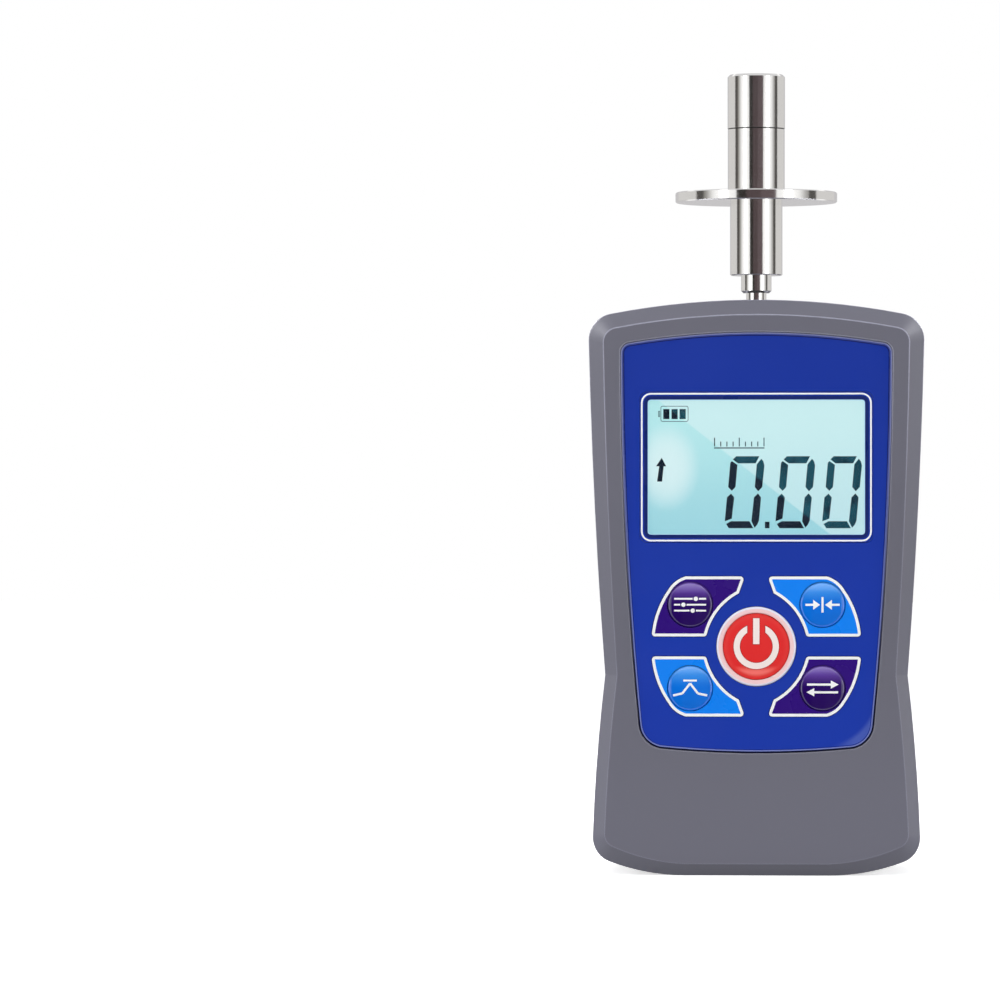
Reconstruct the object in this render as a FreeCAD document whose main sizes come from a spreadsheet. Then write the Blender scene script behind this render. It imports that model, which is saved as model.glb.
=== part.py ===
import FreeCAD, Part
import math
import os
import Sketcher

V = FreeCAD.Vector

# Digital fruit penetrometer: a hand-held two-shell housing with a display and five keys on its
# front (-Y), a steel probe on an S-beam load cell rising from its crown (+Z), and four battery
# cells behind a hinged door on its back (+Y). It stands on its foot, z = 0. Lengths in mm.

SIZES = {
    # housing outline, seen from the front
    "crown_radius": 150.0,
    "shoulder_half": 32.65,
    "shoulder_height": 108.2,
    "shoulder_corner": 5.2,
    "upper_side_radius": 1300.0,
    "waist_half": 29.35,
    "waist_height": 38.9,
    "lower_side_radius": 380.0,
    "hip_half": 31.85,
    "hip_height": 4.1,
    "hip_corner": 5.0,
    "foot_half": 14.0,
    "foot_radius": 41.0,
    # housing depth and walls
    "shell_depth": 18.0,
    "wall": 2.2,
    "front_wall": 2.8,
    "rear_wall": 2.4,
    "bevel_width": 2.35,
    "bevel_at_shoulder": 2.95,
    "bevel_depth": 2.2,
    "rear_edge_radius": 3.0,
    "lip_inset": 1.1,
    "lip_height": 1.0,
    "lip_gap": 0.1,
    "lip_low": 16.0,
    "lip_high": 92.0,
    # faceplate
    "face_crown_radius": 150.0,
    "face_top_half": 26.3,
    "face_top_height": 103.1,
    "face_side_radius": 760.0,
    "face_low_half": 22.3,
    "face_low_height": 25.2,
    "face_corner": 5.0,
    "face_top_corner": 2.0,
    "face_base_radius": 190.0,
    "face_recess": 1.2,
    "face_thickness": 0.8,
    "face_gap": 0.1,
    # display
    "display_drop": 28.93,
    "window_width": 45.0,
    "window_tall": 29.1,
    "window_corner": 1.4,
    "window_ledge": 1.2,
    "lcd_width": 46.0,
    "lcd_tall": 31.0,
    "lcd_glass": 1.4,
    "lcd_ledge": 2.0,
    "lcd_gap": 0.1,
    "zebra_width": 1.5,
    "frame_wall": 1.7,
    # keys
    "key_x": 12.82,
    "key_row": 8.1,
    "power_drop": 34.77,
    "key_radius": 4.4,
    "power_radius": 6.4,
    "ring_radius": 7.7,
    "key_gap": 0.1,
    "key_dome": 0.3,
    "key_shoulder": 0.1,
    "key_flange": 0.9,
    "key_flange_reach": 0.8,
    "key_flange_gap": 0.05,
    "key_stem_radius": 1.6,
    "key_travel": 0.35,
    "plunger_radius": 1.7,
    "plunger_proud": 0.5,
    "plunger_depth": 1.0,
    "switch_side": 6.2,
    "switch_high": 3.5,
    # main board
    "board_depth": 6.0,
    "board_thickness": 1.6,
    "board_half": 25.0,
    "board_tongue_half": 21.5,
    "board_below_power": 16.0,
    "board_shoulder": 17.2,
    "board_above_display": 22.3,
    "board_screw_x": 19.0,
    "board_screw_edge": 2.5,
    "board_boss_radius": 2.4,
    # ribs inside the front shell
    "rib_low": 9.0,
    "rib_step": 6.0,
    "rib_thickness": 1.0,
    "rib_clearance": 1.6,
    # parts on the board's rear face
    "part_gap": 0.6,
    "chip_side": 10.0,
    "chip_high": 1.6,
    "amplifier_wide": 6.0,
    "amplifier_tall": 5.0,
    "amplifier_drop": 7.0,
    "cell_socket_wide": 8.0,
    "cell_socket_tall": 4.0,
    "cell_socket_high": 2.2,
    "cell_socket_x": 19.5,
    "cell_socket_drop": 15.0,
    "lead_socket_wide": 6.0,
    "lead_socket_tall": 4.0,
    "lead_socket_high": 4.0,
    "lead_socket_x": 14.0,
    "lead_socket_rise": 5.5,
    "sounder_x": 10.0,
    "sounder_radius": 4.5,
    "sounder_high": 4.0,
    "sounder_port": 1.0,
    "crystal_wide": 4.0,
    "crystal_long": 10.0,
    "crystal_high": 1.4,
    # housing screws
    "screw_top_x": 25.6,
    "screw_top_height": 99.8,
    "screw_low_x": 26.2,
    "screw_low_height": 12.0,
    "screw_radius": 1.25,
    "screw_gap": 0.15,
    "screw_head_radius": 2.1,
    "screw_head_high": 1.4,
    "screw_head_depth": 10.0,
    "screw_grip": 8.0,
    "screw_boss_wall": 0.9,
    "pilot_clearance": 0.02,
    # probe
    "shaft_radius": 2.0,
    "shaft_collar_radius": 3.0,
    "shaft_collar_base": 113.6,
    "adapter_base": 117.05,
    "adapter_radius": 5.15,
    "disc_base": 131.4,
    "disc_radius": 15.9,
    "disc_thickness": 2.0,
    "disc_chamfer": 0.2,
    "stem_radius": 5.6,
    "tip_base": 145.9,
    "tip_radius": 5.65,
    "probe_top": 156.55,
    "probe_chamfer": 0.45,
    "stud_radius": 1.5,
    "stud_length": 6.0,
    "stud_gap": 0.05,
    "seal_flange_radius": 4.2,
    "seal_radius": 3.2,
    "seal_flange_high": 1.0,
    "seal_gap": 0.08,
    # load cell and its bracket
    "cell_width": 26.0,
    "cell_tall": 30.0,
    "cell_deep": 10.0,
    "cell_slot": 1.6,
    "cell_beam": 6.0,
    "cell_hole_radius": 4.0,
    "cell_neck": 4.0,
    "cell_thread": 7.0,
    "cell_bolt_radius": 2.0,
    "cell_bolt_head": 3.5,
    "cell_bolt_head_high": 2.4,
    "bracket_thickness": 2.5,
    "bracket_shelf_top": 60.5,
    "bracket_half": 22.0,
    "bracket_top": 104.0,
    "bracket_boss": 0.6,
    "bracket_screw_x": 18.5,
    "bracket_screw_low": 61.6,
    "bracket_screw_high": 101.2,
    "bracket_screw_radius": 1.1,
    "bracket_screw_length": 4.6,
    "insert_x": 12.5,
    "insert_low": 66.5,
    "insert_high": 96.5,
    "insert_radius": 4.0,
    "insert_shank_radius": 3.2,
    "insert_bore_radius": 2.1,
    "insert_gap": 0.1,
    # battery bay and door
    "battery_radius": 5.25,
    "battery_length": 44.5,
    "battery_cap_radius": 1.9,
    "battery_cap_high": 0.9,
    "battery_pitch": 10.9,
    "bay_side_gap": 0.4,
    "bay_base": 4.6,
    "bay_wall": 1.6,
    "bay_deep": 13.2,
    "spring_space": 2.6,
    "contact_thickness": 0.4,
    "spring_wire": 0.25,
    "spring_radius": 3.2,
    "door_thickness": 2.0,
    "door_base": 6.5,
    "door_ledge": 1.5,
    "door_gap": 0.1,
    "door_tab_width": 2.4,
    "door_tab_reach": 1.4,
    "door_tab_thickness": 1.0,
    "grip_rib_width": 12.0,
    "grip_rib_step": 1.8,
    "grip_drop": 10.0,
    "grip_depth": 0.6,
}


class Size:
    """A length that carries both its number and the spreadsheet formula it comes from."""

    def __init__(self, value, text):
        self.value = float(value)
        self.text = text

    @staticmethod
    def of(thing):
        return thing if isinstance(thing, Size) else Size(thing, repr(float(thing)))

    def _join(self, sign, other, value):
        return Size(value, "(" + self.text + " " + sign + " " + other.text + ")")

    def __add__(self, other):
        other = Size.of(other)
        return self._join("+", other, self.value + other.value)

    def __radd__(self, other):
        return Size.of(other) + self

    def __sub__(self, other):
        other = Size.of(other)
        return self._join("-", other, self.value - other.value)

    def __rsub__(self, other):
        return Size.of(other) - self

    def __mul__(self, other):
        other = Size.of(other)
        return self._join("*", other, self.value * other.value)

    def __rmul__(self, other):
        return Size.of(other) * self

    def __truediv__(self, other):
        other = Size.of(other)
        return self._join("/", other, self.value / other.value)

    def __neg__(self):
        return Size.of(-1) * self

    def __float__(self):
        return self.value


class Sheet:
    """The spreadsheet of driving sizes; its values are read as attributes."""

    def __init__(self, doc):
        cells = doc.addObject("Spreadsheet::Sheet", "Sizes")
        for row, (name, value) in enumerate(SIZES.items(), start=1):
            cells.set("A" + str(row), name)
            cells.set("B" + str(row), str(value))
            cells.setAlias("B" + str(row), name)
            setattr(self, name, Size(value, "Sizes." + name))


doc = FreeCAD.newDocument("FruitPenetrometer")
S = Sheet(doc)
doc.recompute()
NODES = []


def bind(thing, prop, size):
    """Sets a property to a size, through its formula where it has one."""
    size = Size.of(size)
    if "Sizes." in size.text:
        thing.setExpression(prop, size.text)
    else:
        owner, _, field = prop.rpartition(".")
        if owner:
            place = thing.Placement
            setattr(place.Base, field, size.value)
            thing.Placement = place
        else:
            setattr(thing, prop, size.value)


class Drawing:
    """Adds fully constrained lines, arcs and circles to a sketch."""

    def __init__(self, sketch):
        self.sketch = sketch

    def fix(self, geometry, point, x, y):
        """Pins one point of a piece of geometry at x, y from the sketch's origin."""
        for kind, size in (("DistanceX", Size.of(x)), ("DistanceY", Size.of(y))):
            self.measure((kind, -1, 1, geometry, point), size)

    def measure(self, head, size):
        """Adds a dimension and ties it to its formula."""
        index = self.sketch.addConstraint(Sketcher.Constraint(*head, size.value))
        if "Sizes." in size.text:
            self.sketch.setExpression("Constraints[" + str(index) + "]", size.text)

    def circle(self, x, y, radius):
        centre = V(float(Size.of(x)), float(Size.of(y)), 0)
        number = self.sketch.addGeometry(Part.Circle(centre, V(0, 0, 1), float(radius)))
        self.fix(number, 3, x, y)
        self.measure(("Radius", number), Size.of(radius))

    def path(self, points):
        """Draws a closed path of straight lines through the points."""
        spots = [V(float(Size.of(x)), float(Size.of(y)), 0) for x, y in points]
        first = None
        for i, (x, y) in enumerate(points):
            line = Part.LineSegment(spots[i], spots[(i + 1) % len(spots)])
            number = self.sketch.addGeometry(line)
            first = number if first is None else first
            self.fix(number, 1, x, y)
            if i:
                self.join(number - 1, number)
        self.join(first + len(points) - 1, first)

    def join(self, before, after):
        self.sketch.addConstraint(Sketcher.Constraint("Coincident", before, 2, after, 1))

    def rectangle(self, x0, x1, y0, y1):
        self.path([(x0, y0), (x1, y0), (x1, y1), (x0, y1)])

    def outline(self, points):
        """Draws a closed counter-clockwise path of (x, y, radius, corner) points. Each radius
        bends the run that starts at its point outwards, and a radius of 0 leaves it straight.
        A corner above 0 rounds the point, between two bent runs."""
        count = len(points)
        spots = [V(float(Size.of(p[0])), float(Size.of(p[1])), 0) for p in points]
        bends = [float(Size.of(p[2])) for p in points]
        hubs = [hub_of(spots[i], spots[(i + 1) % count], bends[i]) for i in range(count)]
        starts = list(spots)
        ends = spots[1:] + spots[:1]
        rounds = {}
        for i, point in enumerate(points):
            corner = float(Size.of(point[3]))
            if corner:
                centre = corner_centre(spots[i], hubs[i - 1], bends[i - 1] - corner,
                                       hubs[i], bends[i] - corner)
                ends[i - 1] = toward(hubs[i - 1], centre, bends[i - 1])
                starts[i] = toward(hubs[i], centre, bends[i])
                rounds[i] = arc_about(centre, ends[i - 1], starts[i])
        runs = []
        for i in range(count):
            piece = Part.LineSegment(starts[i], ends[i])
            if bends[i]:
                piece = arc_about(hubs[i], starts[i], ends[i])
            runs.append(self.sketch.addGeometry(piece))
        for i, (x, y, _, corner) in enumerate(points):
            if i in rounds:
                self.round(runs[i - 1], runs[i], rounds[i], x, y, corner)
            else:
                self.join(runs[i - 1], runs[i])
                self.fix(runs[i], 1, x, y)
        for number, (_, _, radius, _) in zip(runs, points):
            if float(Size.of(radius)):
                self.measure(("Radius", number), Size.of(radius))

    def round(self, before, after, arc, x, y, corner):
        """Joins two bent runs by a tangent arc; both would meet at x, y without it."""
        sharp = self.sketch.addGeometry(Part.Point(V(float(x), float(y), 0)), True)
        self.fix(sharp, 1, x, y)
        for run in (before, after):
            self.sketch.addConstraint(Sketcher.Constraint("PointOnObject", sharp, 1, run))
        number = self.sketch.addGeometry(arc)
        self.sketch.addConstraint(Sketcher.Constraint("Tangent", before, 2, number, 1))
        self.sketch.addConstraint(Sketcher.Constraint("Tangent", number, 2, after, 1))
        self.measure(("Radius", number), Size.of(corner))


def hub_of(start, end, radius):
    """Centre, on the left, of the counter-clockwise arc from start to end."""
    if not radius:
        return None
    chord = end - start
    rise = math.sqrt(radius ** 2 - (chord.Length / 2) ** 2)
    return (start + end) * 0.5 + V(-chord.y, chord.x, 0).normalize() * rise


def corner_centre(corner, hub_a, reach_a, hub_b, reach_b):
    """Where two circles about the hubs cross, on the side nearer to the corner."""
    across = hub_b - hub_a
    along = (reach_a ** 2 - reach_b ** 2 + across.Length ** 2) / (2 * across.Length)
    rise = math.sqrt(reach_a ** 2 - along ** 2)
    ahead = V(across.x, across.y, 0).normalize()
    foot = hub_a + ahead * along
    side = V(-ahead.y, ahead.x, 0) * rise
    return min((foot + side, foot - side), key=corner.distanceToPoint)


def toward(hub, spot, radius):
    """The point at a radius from a hub, in the direction of a spot."""
    return hub + (spot - hub).normalize() * radius


def arc_about(hub, start, end):
    """Counter-clockwise arc from start to end about a hub."""
    angles = [math.atan2(p.y - hub.y, p.x - hub.x) for p in (start, end)]
    circle = Part.Circle(hub, V(0, 0, 1), start.distanceToPoint(hub))
    return Part.ArcOfCircle(circle, *angles)


PLANES = {"x": "YZ_Plane", "y": "XZ_Plane", "z": "XY_Plane"}
NORMALS = {"x": 1, "y": -1, "z": 1}


def new_body(name):
    """A part-design body that becomes one named sub-part."""
    body = doc.addObject("PartDesign::Body", name)
    body.Label = name
    NODES.append(body)
    return body


def new_sketch(body, name, axis, level):
    """A sketch across an axis (x, y or z), at a level along it."""
    sketch = body.newObject("Sketcher::SketchObject", name)
    plane = next(f for f in body.Origin.OriginFeatures if f.Role == PLANES[axis])
    sketch.AttachmentSupport = [(plane, "")]
    sketch.MapMode = "FlatFace"
    lift = Size.of(level) * NORMALS[axis]
    sketch.AttachmentOffset = FreeCAD.Placement(V(0, 0, float(lift)), FreeCAD.Rotation())
    if "Sizes." in lift.text:
        sketch.setExpression("AttachmentOffset.Base.z", lift.text)
    return sketch


def extrude(kind, body, name, axis, low, high, draw):
    """Pads or pockets a drawn profile from low to high along an axis."""
    before = body.Tip.Shape.Volume if body.Tip else 0
    sketch = new_sketch(body, name + "Sketch", axis, low)
    draw(Drawing(sketch))
    feature = body.newObject("PartDesign::" + kind, name)
    feature.Profile = sketch
    bind(feature, "Length", Size.of(high) - Size.of(low))
    along = NORMALS[axis] > 0
    feature.Reversed = not along if kind == "Pad" else along
    doc.recompute()
    change = feature.Shape.Volume - before
    if change <= 0 if kind == "Pad" else change >= 0:
        raise ValueError(body.Label + " " + name + " changes nothing")
    return feature


def loft(body, name, axis, low, draw_low, high, draw_high):
    """Joins two profiles, at two levels along an axis, by straight rulings."""
    sketches = []
    for word, level, draw in (("Low", low, draw_low), ("High", high, draw_high)):
        sketches.append(new_sketch(body, name + word, axis, level))
        draw(Drawing(sketches[-1]))
    feature = body.newObject("PartDesign::AdditiveLoft", name)
    feature.Profile = sketches[0]
    feature.Sections = sketches[1:]
    feature.Ruled = True
    doc.recompute()
    return feature


def pad(body, name, axis, low, high, draw):
    return extrude("Pad", body, name, axis, low, high, draw)


def cut(body, name, axis, low, high, draw):
    return extrude("Pocket", body, name, axis, low, high, draw)


def turn(body, name, points):
    """Turns a closed profile of (radius, height) points about the body's own Z axis."""
    sketch = new_sketch(body, name + "Sketch", "y", 0)
    Drawing(sketch).path(points)
    feature = body.newObject("PartDesign::Revolution", name)
    feature.Profile = sketch
    feature.ReferenceAxis = (sketch, ["V_Axis"])
    feature.Angle = 360.0
    doc.recompute()
    return feature


def dress(kind, body, name, chosen, **sizes):
    """Fillets or chamfers the edges of the body's tip that a test chooses."""
    base = body.Tip
    names = ["Edge" + str(i) for i, e in enumerate(base.Shape.Edges, start=1) if chosen(e)]
    if not names:
        raise ValueError(body.Label + " " + name + " finds no edge")
    feature = body.newObject("PartDesign::" + kind, name)
    feature.Base = (base, names)
    for prop, size in sizes.items():
        if prop == "Size2":
            feature.ChamferType = "Two distances"
        bind(feature, prop, size)
    doc.recompute()
    if feature.Shape.isNull() or not feature.Shape.isValid():
        raise ValueError(body.Label + " " + name + " makes no valid shape")
    return feature


def runs_along(axis, edge):
    """True for a straight edge along x, y or z."""
    if edge.Curve.TypeId != "Part::GeomLine":
        return False
    return abs(abs(getattr(edge.Curve.Direction, axis)) - 1) < 1e-6


def corner_test(corners):
    """Chooses the straight edges along Y that stand at the given (x, z) corners."""
    spots = [(float(Size.of(x)), float(Size.of(z))) for x, z in corners]

    def chosen(edge):
        if not runs_along("y", edge):
            return False
        point = edge.Vertexes[0].Point
        return any(math.hypot(point.x - x, point.z - z) < 0.01 for x, z in spots)

    return chosen


def lies_at(axis, level):
    """Chooses the edges that lie wholly at one level along an axis."""
    flat = float(Size.of(level))

    def chosen(edge):
        box = edge.BoundBox
        low = getattr(box, axis.upper() + "Min")
        high = getattr(box, axis.upper() + "Max")
        return abs(low - flat) < 1e-3 and abs(high - flat) < 1e-3

    return chosen


def place(body, x, y, z, facing=None):
    """Moves a body, and turns its own +Z to face -Y (front) or +Y (rear) where asked."""
    turns = {"front": 90, "rear": -90}
    angle = turns.get(facing, 0)
    rotation = FreeCAD.Rotation(V(1, 0, 0), angle)
    spot = V(*(float(Size.of(value)) for value in (x, y, z)))
    body.Placement = FreeCAD.Placement(spot, rotation)
    for field, value in zip("xyz", (x, y, z)):
        text = Size.of(value).text
        if "Sizes." in text:
            body.setExpression("Placement.Base." + field, text)


def both_sides(x, *heights):
    """The (x, z) spots of a pattern that is the same left and right."""
    return [(side * x, height) for height in heights for side in (Size.of(-1), Size.of(1))]


# Places that several pieces share. Front is -Y; the parting plane is y = 0.
FRONT = -S.shell_depth
REAR = S.shell_depth
FACE_SEAT = FRONT + S.face_recess
FACE_TOP = FACE_SEAT - S.face_thickness
FRONT_INNER = FRONT + S.front_wall
REAR_INNER = REAR - S.rear_wall
BOARD_REAR = FRONT_INNER + S.board_depth + S.board_thickness
BOARD_FRONT = FRONT_INNER + S.board_depth
LCD_FRONT = FRONT_INNER + S.lcd_gap
BAY_HALF = S.battery_pitch * 1.5 + S.battery_radius + S.bay_side_gap
BAY_TOP = S.bay_base + S.battery_length + S.spring_space + S.contact_thickness * 2
BAY_FLOOR = REAR - S.bay_deep
BATTERY_Y = BAY_FLOOR + S.battery_radius + 0.25
DOOR_SEAT = REAR - S.door_thickness
DOOR_HALF = BAY_HALF + S.door_ledge
DOOR_TOP = BAY_TOP + 0.4
BACK_PLATE_REAR = REAR_INNER - S.bracket_boss
BACK_PLATE_FRONT = BACK_PLATE_REAR - S.bracket_thickness
CELL_TOP = S.bracket_shelf_top + S.cell_tall
DISPLAY_HEIGHT = S.shoulder_height - S.display_drop
POWER_HEIGHT = DISPLAY_HEIGHT - S.power_drop
KEYS = {
    "set": (-S.key_x, POWER_HEIGHT + S.key_row),
    "zero": (S.key_x, POWER_HEIGHT + S.key_row),
    "peak": (-S.key_x, POWER_HEIGHT - S.key_row),
    "unit": (S.key_x, POWER_HEIGHT - S.key_row),
    "power": (Size.of(0), POWER_HEIGHT),
}
BOARD_LOW = POWER_HEIGHT - S.board_below_power
BOARD_HIGH = DISPLAY_HEIGHT + S.board_above_display
CASE_SCREWS = both_sides(S.screw_top_x, S.screw_top_height)
CASE_SCREWS += both_sides(S.screw_low_x, S.screw_low_height)
BOARD_SCREWS = both_sides(S.board_screw_x, BOARD_LOW + S.board_screw_edge,
                          BOARD_HIGH - S.board_screw_edge)
BRACKET_SCREWS = both_sides(S.bracket_screw_x, S.bracket_screw_low, S.bracket_screw_high)
INSERTS = both_sides(S.insert_x, S.insert_low, S.insert_high)


def case_outline(inset, shoulder_inset=None):
    """The housing's outline, moved inwards all round, by another inset at the shoulders."""
    hip = (S.hip_half - inset, S.hip_height + inset)
    waist = (S.waist_half - inset, S.waist_height)
    shoulder = (S.shoulder_half - (shoulder_inset or inset), S.shoulder_height - inset)
    foot = (S.foot_half, Size.of(0) + inset)
    foot_bend = S.foot_radius - inset
    low_bend = S.lower_side_radius - inset
    high_bend = S.upper_side_radius - inset
    hip_corner = S.hip_corner - inset
    shoulder_corner = S.shoulder_corner - inset
    return [
        (-foot[0], foot[1], 0, 0),
        (foot[0], foot[1], foot_bend, 0),
        (hip[0], hip[1], low_bend, hip_corner),
        (waist[0], waist[1], high_bend, 0),
        (shoulder[0], shoulder[1], S.crown_radius - inset, shoulder_corner),
        (-shoulder[0], shoulder[1], high_bend, shoulder_corner),
        (-waist[0], waist[1], low_bend, 0),
        (-hip[0], hip[1], foot_bend, hip_corner),
    ]


def face_outline(grow):
    """The faceplate's outline, moved outwards by a growth all round."""
    low = (S.face_low_half + grow, S.face_low_height - grow)
    top = (S.face_top_half + grow, S.face_top_height + grow)
    low_corner = S.face_corner + grow
    top_corner = S.face_top_corner + grow
    side_bend = S.face_side_radius + grow
    return [
        (-low[0], low[1], S.face_base_radius + grow, low_corner),
        (low[0], low[1], side_bend, low_corner),
        (top[0], top[1], S.face_crown_radius + grow, top_corner),
        (-top[0], top[1], side_bend, top_corner),
    ]


def circles(spots, radius):
    """A drawing step that puts one circle at each spot."""
    def draw(drawing):
        for x, z in spots:
            drawing.circle(x, z, radius)
    return draw


def rectangle(x0, x1, y0, y1):
    """A drawing step for one rectangle."""
    return lambda drawing: drawing.rectangle(x0, x1, y0, y1)


def rim(inset, shoulder_inset=None):
    """A drawing step for the housing's outline at an inset."""
    return lambda drawing: drawing.outline(case_outline(inset, shoulder_inset))


def window_rectangle(shrink):
    """A drawing step for the display window's rectangle, made smaller all round."""
    half = S.window_width / 2 - shrink
    tall = S.window_tall / 2 - shrink
    return rectangle(-half, half, DISPLAY_HEIGHT - tall, DISPLAY_HEIGHT + tall)


def window_corners(shrink):
    """The corners of the display window's rectangle."""
    tall = S.window_tall / 2 - shrink
    heights = (DISPLAY_HEIGHT - tall, DISPLAY_HEIGHT + tall)
    return corner_test(both_sides(S.window_width / 2 - shrink, *heights))


def probe_hole(body):
    """Cuts the half hole and the half groove that hold the shaft's seal in the crown."""
    seal_top = S.shoulder_height - S.wall
    crown = S.shoulder_height + S.shoulder_corner
    one_spot = [(Size.of(0), Size.of(0))]
    cut(body, "SealHole", "z", seal_top - S.wall, crown, circles(one_spot, S.seal_radius))
    groove_base = SEAL_BASE + S.wall / 2 - S.seal_flange_high / 2
    cut(body, "SealGroove", "z", groove_base, groove_base + S.seal_flange_high,
        circles(one_spot, S.seal_flange_radius))


# The crown's inner height on the centre line, from its arc through the shoulders.
CROWN_RISE = S.crown_radius.value - math.sqrt(
    S.crown_radius.value ** 2 - S.shoulder_half.value ** 2)
CROWN_TOP = S.shoulder_height + CROWN_RISE
SEAL_BASE = CROWN_TOP - S.wall


def front_shell():
    """Front half: bevelled rim, faceplate recess, openings, bosses, ribs and lips."""
    body = new_body("front_shell")
    pad(body, "Rim", "y", FRONT + S.bevel_depth, 0, rim(0))
    loft(body, "Bevel", "y", FRONT, rim(S.bevel_width, S.bevel_at_shoulder),
         FRONT + S.bevel_depth, rim(0))
    cut(body, "Cavity", "y", FRONT_INNER, 0, rim(S.wall))
    cut(body, "FaceRecess", "y", FRONT, FACE_SEAT,
        lambda drawing: drawing.outline(face_outline(S.face_gap)))
    cut(body, "DisplayOpening", "y", FACE_SEAT, FRONT_INNER, window_rectangle(S.window_ledge))
    small = [KEYS[name] for name in ("set", "zero", "peak", "unit")]
    cut(body, "KeyHoles", "y", FACE_SEAT, FRONT_INNER, circles(small, S.key_radius + 0.2))
    cut(body, "PowerHole", "y", FACE_SEAT, FRONT_INNER,
        circles([KEYS["power"]], S.power_radius + 0.4))
    boss = S.screw_radius + S.screw_boss_wall + 0.6
    pad(body, "CaseBosses", "y", FRONT_INNER - 0.5, 0, circles(CASE_SCREWS, boss))
    pad(body, "BoardBosses", "y", FRONT_INNER - 0.5, BOARD_FRONT,
        circles(BOARD_SCREWS, S.board_boss_radius))
    pad(body, "FrontRibs", "y", FRONT_INNER - 0.5, FRONT_INNER + 2.4, front_ribs)
    cut(body, "CasePilots", "y", -S.screw_grip - 1, 0,
        circles(CASE_SCREWS, S.screw_radius + S.pilot_clearance))
    cut(body, "BoardPilots", "y", BOARD_FRONT - 4.6, BOARD_FRONT,
        circles(BOARD_SCREWS, S.bracket_screw_radius + S.pilot_clearance))
    pad(body, "Lips", "y", -0.5, S.lip_height, side_lips(S.lip_inset, S.wall - 0.1))
    probe_hole(body)


def front_ribs(drawing):
    """Stiffening ribs across the plain wall below the keys."""
    half = S.screw_low_x - S.screw_radius - S.rib_clearance
    for step in range(3):
        low = S.rib_low + S.rib_step * step
        drawing.rectangle(-half, half, low, low + S.rib_thickness)


def side_lips(near, far):
    """A drawing step for the two lips that stand along the housing's long sides."""
    def draw(drawing):
        for side in (-1, 1):
            spots = [(S.hip_half - 0.3, S.lip_low), (S.waist_half, S.waist_height),
                     (S.shoulder_half - 0.5, S.lip_high)]
            outer = [(side * (x - near), z) for x, z in spots]
            inner = [(side * (x - far), z) for x, z in reversed(spots)]
            drawing.path(outer + inner)
    return draw


def rear_shell():
    """Rear half: rounded rim, screw wells, battery bay, insert holes and lip slots."""
    body = new_body("rear_shell")
    pad(body, "Rim", "y", 0, REAR, rim(0))
    dress("Fillet", body, "RearEdge", lies_at("y", REAR), Radius=S.rear_edge_radius)
    cut(body, "Cavity", "y", 0, REAR_INNER, rim(S.wall))
    cut(body, "LipSlots", "y", 0, S.lip_height + S.lip_gap,
        side_lips(S.lip_inset - S.lip_gap, S.wall + S.lip_gap))
    pad(body, "BayWalls", "y", BAY_FLOOR - S.bay_wall, REAR_INNER + 0.5,
        rectangle(-BAY_HALF - S.bay_wall, BAY_HALF + S.bay_wall,
                  S.bay_base - S.bay_wall, BAY_TOP + S.bay_wall))
    cut(body, "BaySpace", "y", BAY_FLOOR, DOOR_SEAT,
        rectangle(-BAY_HALF, BAY_HALF, S.bay_base, BAY_TOP))
    well = S.screw_head_radius + 0.2
    pad(body, "CaseBosses", "y", 0, REAR_INNER + 0.5, circles(CASE_SCREWS, well + S.screw_boss_wall))
    pad(body, "BracketPads", "y", BACK_PLATE_REAR, REAR_INNER + 0.5, circles(BRACKET_SCREWS, 3.0))
    cut(body, "DoorRecess", "y", DOOR_SEAT, REAR,
        rectangle(-DOOR_HALF, DOOR_HALF, S.door_base - S.door_gap, DOOR_TOP + S.door_gap))
    pad(body, "CellCradles", "y", BAY_FLOOR - 0.5, BAY_FLOOR + 2.0, cradles)
    cut(body, "ScrewWells", "y", S.screw_head_depth - S.screw_head_high, REAR,
        circles(CASE_SCREWS, well))
    cut(body, "ScrewHoles", "y", 0, S.screw_head_depth,
        circles(CASE_SCREWS, S.screw_radius + S.screw_gap))
    cut(body, "BracketPilots", "y", BACK_PLATE_REAR, REAR - 0.6,
        circles(BRACKET_SCREWS, S.bracket_screw_radius + S.pilot_clearance))
    cut(body, "InsertHoles", "y", REAR_INNER, REAR, circles(INSERTS, S.insert_radius + S.insert_gap))
    probe_hole(body)


def cradles(drawing):
    """Low ribs on the bay's floor between neighbouring battery cells."""
    for step in (-1, 0, 1):
        for low in (12.0, 38.0):
            middle = S.battery_pitch * step
            drawing.rectangle(middle - 0.6, middle + 0.6, Size.of(low), Size.of(low) + 6.0)


def faceplate():
    """Blue overlay plate with its window and key openings."""
    body = new_body("faceplate")
    pad(body, "Plate", "y", FACE_TOP, FACE_SEAT, lambda drawing: drawing.outline(face_outline(0)))
    cut(body, "Window", "y", FACE_TOP, FACE_SEAT, window_rectangle(-S.face_gap))
    corner = S.window_corner + S.face_gap
    dress("Fillet", body, "WindowCorners", window_corners(-S.face_gap), Radius=corner)
    small = [KEYS[name] for name in ("set", "zero", "peak", "unit")]
    cut(body, "KeyHoles", "y", FACE_TOP, FACE_SEAT, circles(small, S.key_radius + S.key_gap))
    cut(body, "RingHole", "y", FACE_TOP, FACE_SEAT,
        circles([KEYS["power"]], S.ring_radius + S.face_gap))


def display_window():
    """Clear window that sits on the shell's ledge, flush with the faceplate."""
    body = new_body("display_window")
    pad(body, "Pane", "y", FACE_TOP, FACE_SEAT, window_rectangle(Size.of(0)))
    dress("Fillet", body, "Corners", window_corners(Size.of(0)), Radius=S.window_corner)


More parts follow.
